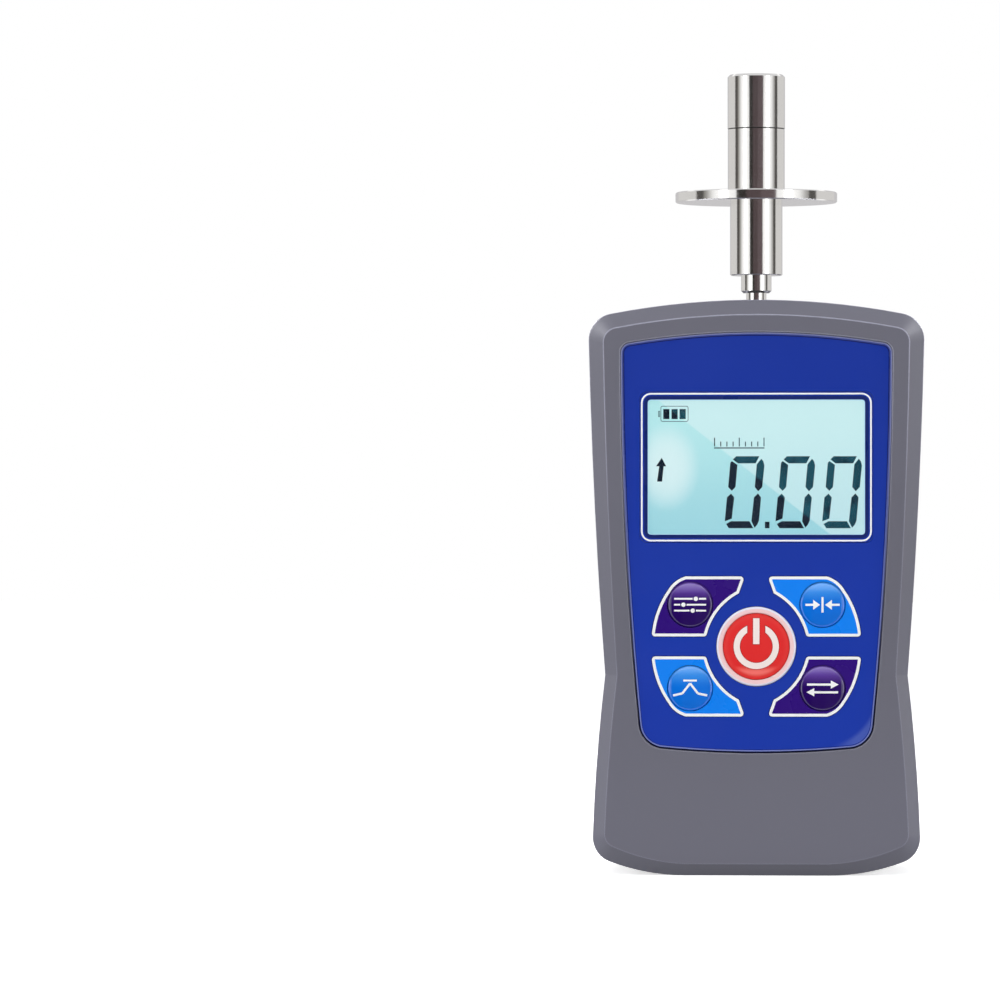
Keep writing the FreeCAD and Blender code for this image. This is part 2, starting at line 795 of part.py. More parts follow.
def display_parts():
    """The liquid-crystal panel, its light box, contact strips and frame."""
    half = S.lcd_width / 2
    tall = S.lcd_tall / 2
    low = DISPLAY_HEIGHT - tall
    high = DISPLAY_HEIGHT + tall
    glass_rear = LCD_FRONT + S.lcd_glass
    panel_rear = glass_rear + S.lcd_glass
    panel = new_body("lcd_panel")
    pad(panel, "FrontGlass", "y", LCD_FRONT, glass_rear, rectangle(-half, half, low, high))
    pad(panel, "RearGlass", "y", glass_rear, panel_rear,
        rectangle(-half, half, low + S.lcd_ledge, high - S.lcd_ledge))

    light = new_body("lcd_backlight")
    pad(light, "Diffuser", "y", panel_rear, BOARD_FRONT,
        rectangle(-half + S.lcd_ledge, half - S.lcd_ledge, low + S.lcd_ledge, high - S.lcd_ledge))

    strips = new_body("lcd_contact_strips")
    pad(strips, "Strips", "y", glass_rear, BOARD_FRONT, zebra_strips(half, low, high))

    frame = new_body("lcd_frame")
    inner = S.lcd_gap
    outer = inner + S.frame_wall
    pad(frame, "Wall", "y", LCD_FRONT + 0.2, BOARD_FRONT,
        rectangle(-half - outer, half + outer, low - outer, high + outer))
    cut(frame, "Opening", "y", LCD_FRONT + 0.2, BOARD_FRONT,
        rectangle(-half - inner, half + inner, low - inner, high + inner))


def zebra_strips(half, low, high):
    """A drawing step for the two rubber strips behind the glass ledges."""
    def draw(drawing):
        for base in (low + 0.2, high - 0.2 - S.zebra_width):
            drawing.rectangle(-half + 1.0, half - 1.0, base, base + S.zebra_width)
    return draw


def keys():
    """Five keycaps, each with the switch plunger that it presses."""
    stem_end = BOARD_FRONT - S.switch_high - S.plunger_proud
    for name, (x, z) in KEYS.items():
        radius = S.power_radius if name == "power" else S.key_radius
        key = new_body(name + "_key")
        place(key, x, stem_end, z, "front")
        flange_rear = stem_end - FRONT_INNER - S.key_flange_gap - S.key_flange
        flange_front = flange_rear + S.key_flange
        rim_top = stem_end - FACE_TOP + S.key_shoulder
        reach = radius + S.key_flange_reach + (0.2 if name == "power" else 0.0)
        turn(key, "Cap", [(0, 0), (S.key_stem_radius, 0), (S.key_stem_radius, flange_rear),
                          (reach, flange_rear), (reach, flange_front),
                          (radius, flange_front), (radius, rim_top),
                          (radius * 0.75, rim_top + S.key_dome * 0.6),
                          (radius * 0.4, rim_top + S.key_dome), (0, rim_top + S.key_dome)])
        plunger = new_body(name + "_switch_plunger")
        place(plunger, x, stem_end, z, "rear")
        length = S.plunger_proud + S.plunger_depth
        turn(plunger, "Pin", [(0, 0), (S.plunger_radius, 0), (S.plunger_radius, length), (0, length)])


def power_key_ring():
    """Pale ring round the power key, seated on the shell's ledge."""
    body = new_body("power_key_ring")
    place(body, 0, FACE_SEAT, POWER_HEIGHT, "front")
    inner = S.power_radius + S.key_gap
    top = S.face_thickness
    turn(body, "Ring", [(inner, 0), (S.ring_radius, 0), (S.ring_radius, top - 0.1),
                        (S.ring_radius - 0.25, top + 0.12), (inner + 0.2, top + 0.12),
                        (inner, top)])


def key_switches():
    """The five push switches on the board, one under each key."""
    body = new_body("key_switches")
    front = BOARD_FRONT - S.switch_high
    half = S.switch_side / 2

    def squares(drawing):
        for x, z in KEYS.values():
            drawing.rectangle(x - half, x + half, z - half, z + half)

    pad(body, "Bodies", "y", front, BOARD_FRONT, squares)
    cut(body, "Wells", "y", front, front + S.plunger_depth + S.key_travel + 0.15,
        circles(KEYS.values(), S.plunger_radius + 0.1))


def main_board():
    """Circuit board, stepped to clear the housing screws."""
    body = new_body("main_board")

    def outline(drawing):
        tongue = S.board_tongue_half
        half = S.board_half
        step = DISPLAY_HEIGHT - S.board_shoulder
        shoulder = DISPLAY_HEIGHT + S.board_shoulder
        drawing.path([(-tongue, BOARD_LOW), (tongue, BOARD_LOW), (tongue, step), (half, step),
                      (half, shoulder), (tongue, shoulder), (tongue, BOARD_HIGH),
                      (-tongue, BOARD_HIGH), (-tongue, shoulder), (-half, shoulder),
                      (-half, step), (-tongue, step)])

    pad(body, "Plate", "y", BOARD_FRONT, BOARD_REAR, outline)
    cut(body, "ScrewHoles", "y", BOARD_FRONT, BOARD_REAR,
        circles(BOARD_SCREWS, S.bracket_screw_radius + S.screw_gap))


def board_block(name, x, z, wide, tall, deep):
    """A rectangular part soldered to the board's rear face."""
    body = new_body(name)
    x = Size.of(x)
    z = Size.of(z)
    pad(body, "Block", "y", BOARD_REAR, BOARD_REAR + deep,
        rectangle(x - wide / 2, x + wide / 2, z - tall / 2, z + tall / 2))
    return body


def board_parts():
    """Chips, sounder and cable sockets on the board's rear face, clear of the load cell."""
    beside_cell = S.cell_width / 2 + S.part_gap
    shelf_low = S.bracket_shelf_top - S.bracket_thickness
    board_block("controller_chip", 0, shelf_low - S.part_gap - S.chip_side / 2,
                S.chip_side, S.chip_side, S.chip_high)
    board_block("amplifier_chip", -beside_cell - S.amplifier_wide / 2,
                DISPLAY_HEIGHT - S.amplifier_drop, S.amplifier_wide, S.amplifier_tall, S.chip_high)
    board_block("load_cell_socket", -S.cell_socket_x, DISPLAY_HEIGHT - S.cell_socket_drop,
                S.cell_socket_wide, S.cell_socket_tall, S.cell_socket_high)
    board_block("battery_socket", S.lead_socket_x, POWER_HEIGHT + S.lead_socket_rise,
                S.lead_socket_wide, S.lead_socket_tall, S.lead_socket_high)

    sounder = new_body("sounder")
    place(sounder, -S.sounder_x, BOARD_REAR, POWER_HEIGHT, "rear")
    side = S.sounder_radius
    top = S.sounder_high
    port = S.sounder_port
    turn(sounder, "Can", [(0, 0), (side, 0), (side, top - port / 2), (side - port / 2, top),
                          (port, top), (port, top - port / 2), (0, top - port / 2)])

    crystal = new_body("crystal")
    half = S.crystal_long / 2
    pad(crystal, "Can", "y", BOARD_REAR, BOARD_REAR + S.crystal_high,
        rectangle(beside_cell, beside_cell + S.crystal_wide,
                  DISPLAY_HEIGHT - half, DISPLAY_HEIGHT + half))
    dress("Fillet", crystal, "Ends", lambda edge: runs_along("y", edge),
          Radius=S.crystal_wide * 0.45)


def screws(name, spots, seat, facing, radius, length, head_radius, head_high):
    """A group of identical pan-head screws whose heads bear on one plane."""
    group = new_body(name)
    outwards = -1 if facing == "front" else 1
    low, high = sorted((seat, seat + outwards * head_high), key=float)
    pad(group, "Heads", "y", low, high, circles(spots, head_radius))
    rim_level = seat + outwards * head_high
    dress("Chamfer", group, "HeadEdges", lies_at("y", rim_level), Size=head_high * 0.35)
    low, high = sorted((seat, seat - outwards * length), key=float)
    pad(group, "Shanks", "y", low, high, circles(spots, radius))
    slot_depth = head_high * 0.45
    low, high = sorted((rim_level, rim_level - outwards * slot_depth), key=float)
    cut(group, "CrossSlots", "y", low, high, crosses(spots, head_radius))


def crosses(spots, head_radius):
    """A drawing step for the cross recess of each screw head."""
    def draw(drawing):
        arm = head_radius * 0.55
        width = head_radius * 0.14
        for x, z in spots:
            drawing.path([(x - arm, z - width), (x - width, z - width), (x - width, z - arm),
                          (x + width, z - arm), (x + width, z - width), (x + arm, z - width),
                          (x + arm, z + width), (x + width, z + width), (x + width, z + arm),
                          (x - width, z + arm), (x - width, z + width), (x - arm, z + width)])
    return draw


def all_screws():
    """Housing screws, board screws and bracket screws."""
    case_seat = S.screw_head_depth - S.screw_head_high
    screws("housing_screws", CASE_SCREWS, case_seat, "rear",
           S.screw_radius, case_seat + S.screw_grip, S.screw_head_radius, S.screw_head_high)
    screws("board_screws", BOARD_SCREWS, BOARD_REAR, "rear",
           S.bracket_screw_radius, S.board_thickness + 4.0, 1.9, 1.2)
    screws("bracket_screws", BRACKET_SCREWS, BACK_PLATE_FRONT, "front",
           S.bracket_screw_radius, S.bracket_screw_length, 1.9, 1.2)


def shaft_seal():
    """Rubber seal that the two shells clamp round the shaft in the crown."""
    body = new_body("shaft_seal")
    place(body, 0, 0, SEAL_BASE)
    groove = S.wall / 2 - S.seal_flange_high / 2
    bore = S.shaft_radius + S.seal_gap
    outer = S.seal_radius - 0.02
    flange = S.seal_flange_radius - 0.02
    top = S.wall - 0.15
    turn(body, "Seal", [(bore, 0), (outer, 0), (outer, groove), (flange, groove),
                        (flange, groove + S.seal_flange_high - 0.02),
                        (outer, groove + S.seal_flange_high - 0.02), (outer, top), (bore, top)])


def probe():
    """Shaft, adapter, stop disc, stem and tip, screwed together end to end."""
    stud = S.stud_radius
    bore = stud + S.stud_gap
    deep = S.stud_length
    chamfer = S.probe_chamfer

    shaft = new_body("load_shaft")
    base = CELL_TOP - S.cell_thread
    collar = S.shaft_collar_radius
    top = S.adapter_base
    turn(shaft, "Shaft", [(0, base), (S.shaft_radius, base),
                          (S.shaft_radius, S.shaft_collar_base),
                          (collar - chamfer, S.shaft_collar_base),
                          (collar, S.shaft_collar_base + chamfer), (collar, top), (stud, top),
                          (stud, top + deep), (0, top + deep)])

    adapter = new_body("probe_adapter")
    low = S.adapter_base
    top = S.disc_base
    reach = top + S.disc_thickness + deep
    turn(adapter, "Adapter", [(0, low + deep + 0.3), (bore, low + deep + 0.3), (bore, low),
                              (S.adapter_radius - 0.2, low), (S.adapter_radius, low + 0.2),
                              (S.adapter_radius, top), (stud, top), (stud, reach), (0, reach)])

    disc = new_body("stop_disc")
    low = S.disc_base
    high = S.disc_base + S.disc_thickness
    edge = S.disc_chamfer
    turn(disc, "Disc", [(bore, low), (S.disc_radius - edge, low), (S.disc_radius, low + edge),
                        (S.disc_radius, high - edge), (S.disc_radius - edge, high), (bore, high)])

    stem = new_body("probe_stem")
    low = high
    top = S.tip_base
    turn(stem, "Stem", [(0, low + deep + 0.3), (bore, low + deep + 0.3), (bore, low),
                        (S.stem_radius, low), (S.stem_radius, top - 0.1),
                        (S.stem_radius - 0.1, top), (stud, top), (stud, top + deep),
                        (0, top + deep)])

    tip = new_body("measuring_tip")
    low = S.tip_base
    top = S.probe_top
    turn(tip, "Tip", [(0, low + deep + 0.3), (bore, low + deep + 0.3), (bore, low),
                      (S.tip_radius - 0.1, low), (S.tip_radius, low + 0.1),
                      (S.tip_radius, top - chamfer), (S.tip_radius - chamfer, top), (0, top)])


def load_cell():
    """S-beam load cell: two slots, an eye between them and a threaded hole at each end."""
    body = new_body("load_cell")
    half = S.cell_width / 2
    low = S.bracket_shelf_top
    middle = low + S.cell_tall / 2
    deep = S.cell_deep / 2
    pad(body, "Block", "y", -deep, deep, rectangle(-half, half, low, CELL_TOP))
    upper = CELL_TOP - S.cell_beam - S.cell_slot
    lower = low + S.cell_beam
    neck = S.cell_neck
    cut(body, "UpperSlot", "y", -deep, deep, rectangle(-half, half - neck, upper, upper + S.cell_slot))
    cut(body, "LowerSlot", "y", -deep, deep, rectangle(-half + neck, half, lower, lower + S.cell_slot))
    cut(body, "Eye", "y", -deep, deep, circles([(Size.of(0), middle)], S.cell_hole_radius))
    axis_spot = [(Size.of(0), Size.of(0))]
    cut(body, "ShaftThread", "z", CELL_TOP - S.cell_beam, CELL_TOP,
        circles(axis_spot, S.shaft_radius + 0.02))
    cut(body, "BoltThread", "z", low, low + S.cell_beam,
        circles(axis_spot, S.cell_bolt_radius + 0.02))


def load_cell_bracket():
    """Angle bracket that carries the load cell and ties it to the rear shell."""
    body = new_body("load_cell_bracket")
    half = S.bracket_half
    shelf_half = S.cell_width / 2 + 1.0
    shelf_low = S.bracket_shelf_top - S.bracket_thickness
    pad(body, "BackPlate", "y", BACK_PLATE_FRONT, BACK_PLATE_REAR,
        rectangle(-half, half, shelf_low, S.bracket_top))
    pad(body, "Shelf", "z", shelf_low, S.bracket_shelf_top,
        rectangle(-shelf_half, shelf_half, -S.cell_deep / 2, BACK_PLATE_FRONT + 0.5))
    for side in (-1, 1):
        x = side * (shelf_half - 1.0)
        pad(body, "Gusset" + ("Left" if side < 0 else "Right"), "x", x - 1.0, x + 1.0,
            lambda drawing: drawing.path([
                (BACK_PLATE_FRONT + 0.2, S.bracket_shelf_top - 0.2),
                (BACK_PLATE_FRONT + 0.2, S.bracket_shelf_top + 6.0),
                (BACK_PLATE_FRONT - 6.0, S.bracket_shelf_top - 0.2)]))
    cut(body, "BoltHole", "z", shelf_low, S.bracket_shelf_top,
        circles([(Size.of(0), Size.of(0))], S.cell_bolt_radius + 0.2))
    cut(body, "ScrewHoles", "y", BACK_PLATE_FRONT, BACK_PLATE_REAR,
        circles(BRACKET_SCREWS, S.bracket_screw_radius + S.screw_gap))
    cut(body, "InsertHoles", "y", BACK_PLATE_FRONT, BACK_PLATE_REAR,
        circles(INSERTS, S.insert_shank_radius + 0.02))


def load_cell_bolt():
    """Button-head bolt up through the shelf into the load cell."""
    body = new_body("load_cell_bolt")
    place(body, 0, 0, S.bracket_shelf_top - S.bracket_thickness)
    high = S.cell_bolt_head_high
    head = S.cell_bolt_head
    reach = S.bracket_thickness + S.cell_beam - 0.5
    turn(body, "Bolt", [(0, -high + 1.2), (1.2, -high + 1.2), (1.2, -high), (head - 1.2, -high),
                        (head, -high + 1.0), (head, 0), (S.cell_bolt_radius, 0),
                        (S.cell_bolt_radius, reach), (0, reach)])


def mounting_inserts():
    """Four threaded steel inserts that reach from the bracket to the rear face."""
    body = new_body("mounting_inserts")
    pad(body, "Shanks", "y", BACK_PLATE_FRONT, BACK_PLATE_REAR, circles(INSERTS, S.insert_shank_radius))
    pad(body, "Heads", "y", BACK_PLATE_REAR, REAR, circles(INSERTS, S.insert_radius))
    cut(body, "Bores", "y", BACK_PLATE_FRONT, REAR, circles(INSERTS, S.insert_bore_radius))


def batteries():
    """Four cells, set nose up and nose down in turn."""
    low = S.bay_base + S.contact_thickness
    for i in range(4):
        nose_up = i % 2 == 0
        cell = new_body("battery_cell_" + str(i + 1))
        x = S.battery_pitch * (i - 1.5)
        place(cell, x, BATTERY_Y, low + S.spring_space if nose_up else low)
        reach = S.battery_length
        can = reach - S.battery_cap_high
        side = S.battery_radius
        cap = S.battery_cap_radius
        edge = 0.5
        if nose_up:
            turn(cell, "Can", [(0, 0), (side - edge, 0), (side, edge), (side, can - edge),
                               (side - edge, can), (cap, can), (cap, reach), (0, reach)])
        else:
            nose = S.battery_cap_high
            turn(cell, "Can", [(0, 0), (cap, 0), (cap, nose), (side - edge, nose),
                               (side, nose + edge), (side, reach - edge), (side - edge, reach),
                               (0, reach)])


def battery_contacts():
    """Sprung and flat contact plates at both ends of the bay."""
    plates = new_body("battery_contact_plates")
    deep = S.battery_radius - 1.0

    def plate_set(spans):
        def draw(drawing):
            for first, last in spans:
                drawing.rectangle(S.battery_pitch * (first - 1.5) - 4.0,
                                  S.battery_pitch * (last - 1.5) + 4.0,
                                  BATTERY_Y - deep, BATTERY_Y + deep)
        return draw

    pad(plates, "LowPlates", "z", S.bay_base, S.bay_base + S.contact_thickness,
        plate_set(((0, 1), (2, 3))))
    pad(plates, "HighPlates", "z", BAY_TOP - S.contact_thickness, BAY_TOP,
        plate_set(((0, 0), (1, 2), (3, 3))))


def battery_springs():
    """Coil springs that press on the flat end of each cell."""
    low = S.bay_base + S.contact_thickness
    high = BAY_TOP - S.contact_thickness - S.spring_space
    rest = 1.3 * S.spring_wire.value
    space = S.spring_space.value - 2 * rest
    coils = []
    for i in range(4):
        x = (S.battery_pitch * (i - 1.5)).value
        base = high.value if i % 2 else low.value
        coil = spring(S.spring_radius.value, S.spring_wire.value, space)
        coil.translate(V(x, BATTERY_Y.value, base + rest))
        coils.append(coil)
    feature = doc.addObject("Part::Feature", "battery_springs")
    feature.Label = "battery_springs"
    feature.Shape = Part.makeCompound(coils)
    NODES.append(feature)


def spring(radius, wire, height):
    """One coil of wire standing on z = 0, bent in short straight runs."""
    turns = 2.5
    runs_per_turn = 12
    count = int(turns * runs_per_turn)
    spots = []
    for i in range(count + 1):
        angle = 2 * math.pi * i / runs_per_turn
        reach = radius - (radius * 0.35) * i / count
        spots.append(V(reach * math.cos(angle), reach * math.sin(angle), height * i / count))
    path = Part.makePolygon(spots)
    ahead = spots[1] - spots[0]
    section = square_section(spots[0], ahead, wire)
    sweep = Part.BRepOffsetAPI.MakePipeShell(path)
    sweep.setTransitionMode(1)
    sweep.add(section)
    sweep.build()
    sweep.makeSolid()
    return sweep.shape()


def square_section(centre, ahead, half):
    """A square wire outline about a centre, across a direction."""
    side = ahead.cross(V(0, 0, 1)).normalize() * half
    rise = side.cross(ahead).normalize() * half
    corners = [centre + side + rise, centre - side + rise, centre - side - rise,
               centre + side - rise]
    return Part.makePolygon(corners + corners[:1])


def battery_door():
    """Rear door on two hooked tabs, with a ribbed grip near its top."""
    body = new_body("battery_door")
    half = DOOR_HALF - S.door_gap
    pad(body, "Panel", "y", DOOR_SEAT, REAR, rectangle(-half, half, S.door_base, DOOR_TOP))
    dress("Fillet", body, "Corners",
          corner_test(both_sides(half, S.door_base, DOOR_TOP)), Radius=0.8)
    tab_rear = DOOR_SEAT - 0.1

    def tabs(drawing):
        for step in (-1, 1):
            middle = S.battery_pitch * step
            drawing.rectangle(middle - S.door_tab_width / 2, middle + S.door_tab_width / 2,
                              S.door_base - S.door_tab_reach, S.door_base + 2.0)

    pad(body, "Tabs", "y", tab_rear - S.door_tab_thickness, DOOR_SEAT, tabs)

    def tab_relief(drawing):
        for step in (-1, 1):
            middle = S.battery_pitch * step
            drawing.rectangle(middle - S.door_tab_width, middle + S.door_tab_width,
                              S.door_base - S.door_tab_reach - 1.0, S.door_base)

    cut(body, "TabRelief", "y", tab_rear, DOOR_SEAT + 0.1, tab_relief)

    def grip(drawing):
        reach = S.grip_rib_width / 2
        for step in range(5):
            low = DOOR_TOP - S.grip_drop + S.grip_rib_step * step
            drawing.rectangle(-reach, reach, low, low + S.grip_rib_step / 2)

    cut(body, "Grip", "y", REAR - S.grip_depth, REAR, grip)


MAKERS = (
    front_shell, rear_shell, faceplate, display_window, display_parts, keys, power_key_ring,
    key_switches, main_board, board_parts, all_screws, shaft_seal, probe, load_cell,
    load_cell_bracket, load_cell_bolt, mounting_inserts, batteries, battery_contacts,
    battery_springs, battery_door,
)


def build():
    """Makes every sub-part, checks them all and writes one STEP file for each."""
    for make in MAKERS:
        make()
    doc.recompute()
    for thing in doc.Objects:
        if "Invalid" in thing.State or "Error" in thing.State:
            raise ValueError(thing.Name + " failed: " + ", ".join(thing.State))
    os.makedirs("parts", exist_ok=True)
    for node in NODES:
        if node.Shape.isNull() or not node.Shape.isValid():
            raise ValueError(node.Label + " has no valid shape")
        node.Shape.exportStep("parts/" + node.Label + ".step")
        print(node.Label, len(node.Shape.Solids), round(node.Shape.Volume, 2))


build()
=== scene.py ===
import logging
import math
from dataclasses import dataclass, replace
from enum import Enum
from typing import Callable, Sequence

import bmesh
import bpy
from mathutils import Matrix, Vector


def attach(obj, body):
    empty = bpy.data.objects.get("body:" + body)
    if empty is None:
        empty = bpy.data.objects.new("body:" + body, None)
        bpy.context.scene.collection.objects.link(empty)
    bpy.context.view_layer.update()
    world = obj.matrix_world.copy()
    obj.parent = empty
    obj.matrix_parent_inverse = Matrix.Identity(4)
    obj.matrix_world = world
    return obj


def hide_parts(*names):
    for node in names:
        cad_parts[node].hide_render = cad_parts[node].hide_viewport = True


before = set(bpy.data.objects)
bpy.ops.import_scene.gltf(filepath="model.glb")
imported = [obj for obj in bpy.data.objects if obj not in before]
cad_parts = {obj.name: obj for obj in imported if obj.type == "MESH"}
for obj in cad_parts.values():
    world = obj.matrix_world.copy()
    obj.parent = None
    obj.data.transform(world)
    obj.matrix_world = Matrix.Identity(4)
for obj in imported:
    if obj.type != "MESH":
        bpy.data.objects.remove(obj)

Point = tuple[float, float]
Colour = tuple[float, float, float, float]
Mesh = bmesh.types.BMesh
Socket = bpy.types.NodeSocket
Outputs = bpy.types.NodeOutputs
Inputs = dict[str, object]

# Lengths are in millimetres unless metres are named, and the front faces negative y.
LOG = logging.getLogger("penetrometer")
MM = 0.001
HOUSING = "housing"
PRINT_STEP = 0.01
FILM_STEP = 0.012
# How far over a keycap's middle its painted highlight reaches full strength, in millimetres.
KEY_HIGHLIGHT_RISE = 3.8
SHARP_ANGLE = 0.6
MERGE_GAP = 0.002
SMOOTH_GRAIN = (0.5, 0.04, 15.0)
FACE_TOP = -17.6
LCD_FRONT = -15.1
DISPLAY_HEIGHT = 79.27
POWER_HEIGHT = 44.5
KEY_PLACES: dict[str, Point] = {
    "set": (-12.82, 52.6), "zero": (12.82, 52.6), "peak": (-12.82, 36.4), "unit": (12.82, 36.4)}


def srgb(red: int, green: int, blue: int) -> Colour:
    """Turns a screen colour into the linear colour that a shader takes.

    Args:
        red: Red from 0 to 255.
        green: Green from 0 to 255.
        blue: Blue from 0 to 255.

    Returns:
        Linear red, green, blue and an alpha of 1.
    """
    def linear(step: int) -> float:
        share = step / 255
        return share / 12.92 if share <= 0.04045 else ((share + 0.055) / 1.055) ** 2.4

    return (linear(red), linear(green), linear(blue), 1.0)


class Tree:
    """Adds and joins the nodes of one material, group or world."""

    def __init__(self, tree: bpy.types.NodeTree) -> None:
        """Keeps the node tree that the calls below fill."""
        self.tree = tree

    @classmethod
    def of(cls, owner: bpy.types.Material | bpy.types.World) -> "Tree":
        """Empties the tree of a material or a world.

        Args:
            owner: The material or world.

        Returns:
            Its tree, ready for new nodes.
        """
        owner.use_nodes = True
        owner.node_tree.nodes.clear()
        return cls(owner.node_tree)

    def feed(self, node: bpy.types.Node, inputs: dict) -> bpy.types.Node:
        """Fills a node's inputs or joins them to other outputs.

        Args:
            node: The node.
            inputs: Input name or number to a value or to another node's output.

        Returns:
            The same node.
        """
        for key, value in inputs.items():
            if isinstance(value, Socket):
                self.tree.links.new(value, node.inputs[key])
            else:
                node.inputs[key].default_value = value
        return node

    def add(self, kind: str, inputs: dict | None = None, **settings: object) -> bpy.types.Node:
        """Adds a node.

        Args:
            kind: Blender's name of the node type.
            inputs: Input name or number to a value or to another node's output.
            settings: Node properties by name.

        Returns:
            The new node.
        """
        node = self.tree.nodes.new(kind)
        for name, value in settings.items():
            setattr(node, name, value)
        return self.feed(node, inputs or {})

    def math(self, operation: str, *values: object) -> Socket:
        """Returns the output of a Math node on the given values or sockets."""
        return self.add("ShaderNodeMath", dict(enumerate(values)), operation=operation).outputs[0]

    def mix(self, factor: object, low: object, high: object) -> Socket:
        """Returns a colour between low and high at a factor."""
        inputs = {0: factor, 6: low, 7: high}
        return self.add("ShaderNodeMix", inputs, data_type="RGBA").outputs[2]

    def ramp(self, value: Socket, low: float, high: float) -> Socket:
        """Returns 0 where a value is at low and 1 where it is at high, smoothly between."""
        return self.add("ShaderNodeMapRange", {0: value, 1: low, 2: high},
                        interpolation_type="SMOOTHSTEP").outputs[0]

    def scaled(self, colour: Socket, value: Socket, span: float, base: float) -> Socket:
        """Makes a colour brighter or darker.

        Args:
            colour: The colour.
            value: A value that changes over the surface.
            span: How much that value counts.
            base: The colour's share where the value is 0.

        Returns:
            The colour times the base plus the value's span.
        """
        tone = self.math("MULTIPLY_ADD", value, span, base)
        return self.add("ShaderNodeVectorMath", {0: colour, "Scale": tone},
                        operation="SCALE").outputs[0]

    def length(self, x: Socket, z: Socket) -> Socket:
        """Returns the length of a flat vector."""
        flat = self.add("ShaderNodeCombineXYZ", {"X": x, "Y": z}).outputs[0]
        return self.add("ShaderNodeVectorMath", {0: flat}, operation="LENGTH").outputs["Value"]

    def noise(self, vector: Socket, scale: object, detail: float = 2.0,
              **more: float) -> Socket:
        """Returns a noise's value, with more of its inputs by name."""
        inputs = {"Vector": vector, "Scale": scale, "Detail": detail, **more}
        return self.add("ShaderNodeTexNoise", inputs).outputs["Fac"]

    def bump(self, height: Socket, strength: object, step: float, **more: Socket) -> Socket:
        """Returns a normal that follows a height with a step in millimetres."""
        inputs = {"Strength": strength, "Distance": step * MM, "Height": height, **more}
        return self.add("ShaderNodeBump", inputs).outputs["Normal"]

    def place(self, centre: Sequence[float] = (0, 0, 0)) -> Socket:
        """Adds the piece's own coordinates.

        Args:
            centre: Where they count from, in millimetres.

        Returns:
            Object coordinates in metres.
        """
        where = self.add("ShaderNodeTexCoord").outputs["Object"]
        shift = tuple(-c * MM for c in centre)
        return self.add("ShaderNodeMapping", {"Vector": where, "Location": shift}).outputs[0]

    def axes(self, vector: Socket) -> Outputs:
        """Splits a vector into its X, Y and Z outputs."""
        return self.add("ShaderNodeSeparateXYZ", {0: vector}).outputs

    def height(self) -> Socket:
        """Returns the height over the object's foot in metres."""
        return self.axes(self.place())["Z"]


class Effect:
    """A shader node group that several finishes share.

    Attributes:
        name: The group's name.
        inputs: Its inputs and their defaults, None for a vector.
        outputs: Its outputs; Normal is a vector and every other one a value.
    """

    name = "effect"
    inputs: dict[str, float | None] = {}
    outputs: tuple[str, ...] = ()

    def group(self) -> bpy.types.NodeTree:
        """Builds the group on its first use.

        Returns:
            The group's node tree.
        """
        ready = bpy.data.node_groups.get(self.name)
        if ready:
            return ready
        tree = bpy.data.node_groups.new(self.name, "ShaderNodeTree")
        for name, default in self.inputs.items():
            kind = "NodeSocketVector" if default is None else "NodeSocketFloat"
            socket = tree.interface.new_socket(name, in_out="INPUT", socket_type=kind)
            if default is not None:
                socket.default_value = default
        for name in self.outputs:
            kind = "NodeSocketVector" if name == "Normal" else "NodeSocketFloat"
            tree.interface.new_socket(name, in_out="OUTPUT", socket_type=kind)
        canvas = Tree(tree)
        source = canvas.add("NodeGroupInput").outputs
        canvas.feed(canvas.add("NodeGroupOutput"), self.fill(canvas, source))
        return tree

    def fill(self, canvas: Tree, source: Outputs) -> Inputs:
        """Builds the group's inside.

        Args:
            canvas: The group's own tree.
            source: The group's inputs.

        Returns:
            Output name to socket.
        """
        raise NotImplementedError

    def put(self, canvas: Tree, **values: object) -> Outputs:
        """Places the group in a material and sets or joins its inputs by name."""
        return canvas.add("ShaderNodeGroup", values, node_tree=self.group()).outputs


class MouldGrain(Effect):
    """Spark-eroded mould texture: a fine bump with slight blotches of tone and gloss."""

    name = "mould_grain"
    inputs = {"Vector": None, "Grain": 0.25, "Depth": 0.2, "Blotch": 40.0, "Normal": None}
    outputs = ("Normal", "Tone", "Roughening")

    def fill(self, canvas: Tree, source: Outputs) -> Inputs:
        """Grain is the size of a speck and Blotch that of a patch, in millimetres."""
        fine = canvas.noise(source["Vector"], canvas.math("DIVIDE", 1.0 / MM, source["Grain"]),
                            3.0, Roughness=0.6)
        broad = canvas.noise(source["Vector"], canvas.math("DIVIDE", 1.0 / MM, source["Blotch"]))
        given = canvas.add("ShaderNodeVectorMath", {0: source["Normal"]}, operation="LENGTH")
        own = canvas.add("ShaderNodeNewGeometry").outputs["Normal"]
        used = canvas.add("ShaderNodeMix", {
            0: canvas.math("GREATER_THAN", given.outputs["Value"], 0.5), 4: own,
            5: source["Normal"]}, data_type="VECTOR")
        mixed = canvas.math("ADD", canvas.math("MULTIPLY", fine, 0.35),
                            canvas.math("MULTIPLY", broad, 0.65))
        return {"Normal": canvas.bump(fine, source["Depth"], 0.02, Normal=used.outputs[1]),
                "Tone": mixed, "Roughening": broad}


class TurningMarks(Effect):
    """Rings that a lathe leaves on a bar: fine lines across the bar's own Z axis."""

    name = "turning_marks"
    inputs = {"Vector": None, "Pitch": 0.12, "Depth": 0.1}
    outputs = ("Normal", "Roughening")

    def fill(self, canvas: Tree, source: Outputs) -> Inputs:
        """Pitch is the distance between rings in millimetres."""
        rings = canvas.math("DIVIDE", canvas.axes(source["Vector"])["Z"],
                            canvas.math("MULTIPLY", source["Pitch"], MM))
        lines = canvas.add("ShaderNodeTexNoise", {"W": rings, "Scale": 1.0, "Detail": 2.0},
                           noise_dimensions="1D").outputs["Fac"]
        return {"Normal": canvas.bump(lines, source["Depth"], 0.004),
                "Roughening": canvas.noise(source["Vector"], 180.0, 3.0)}


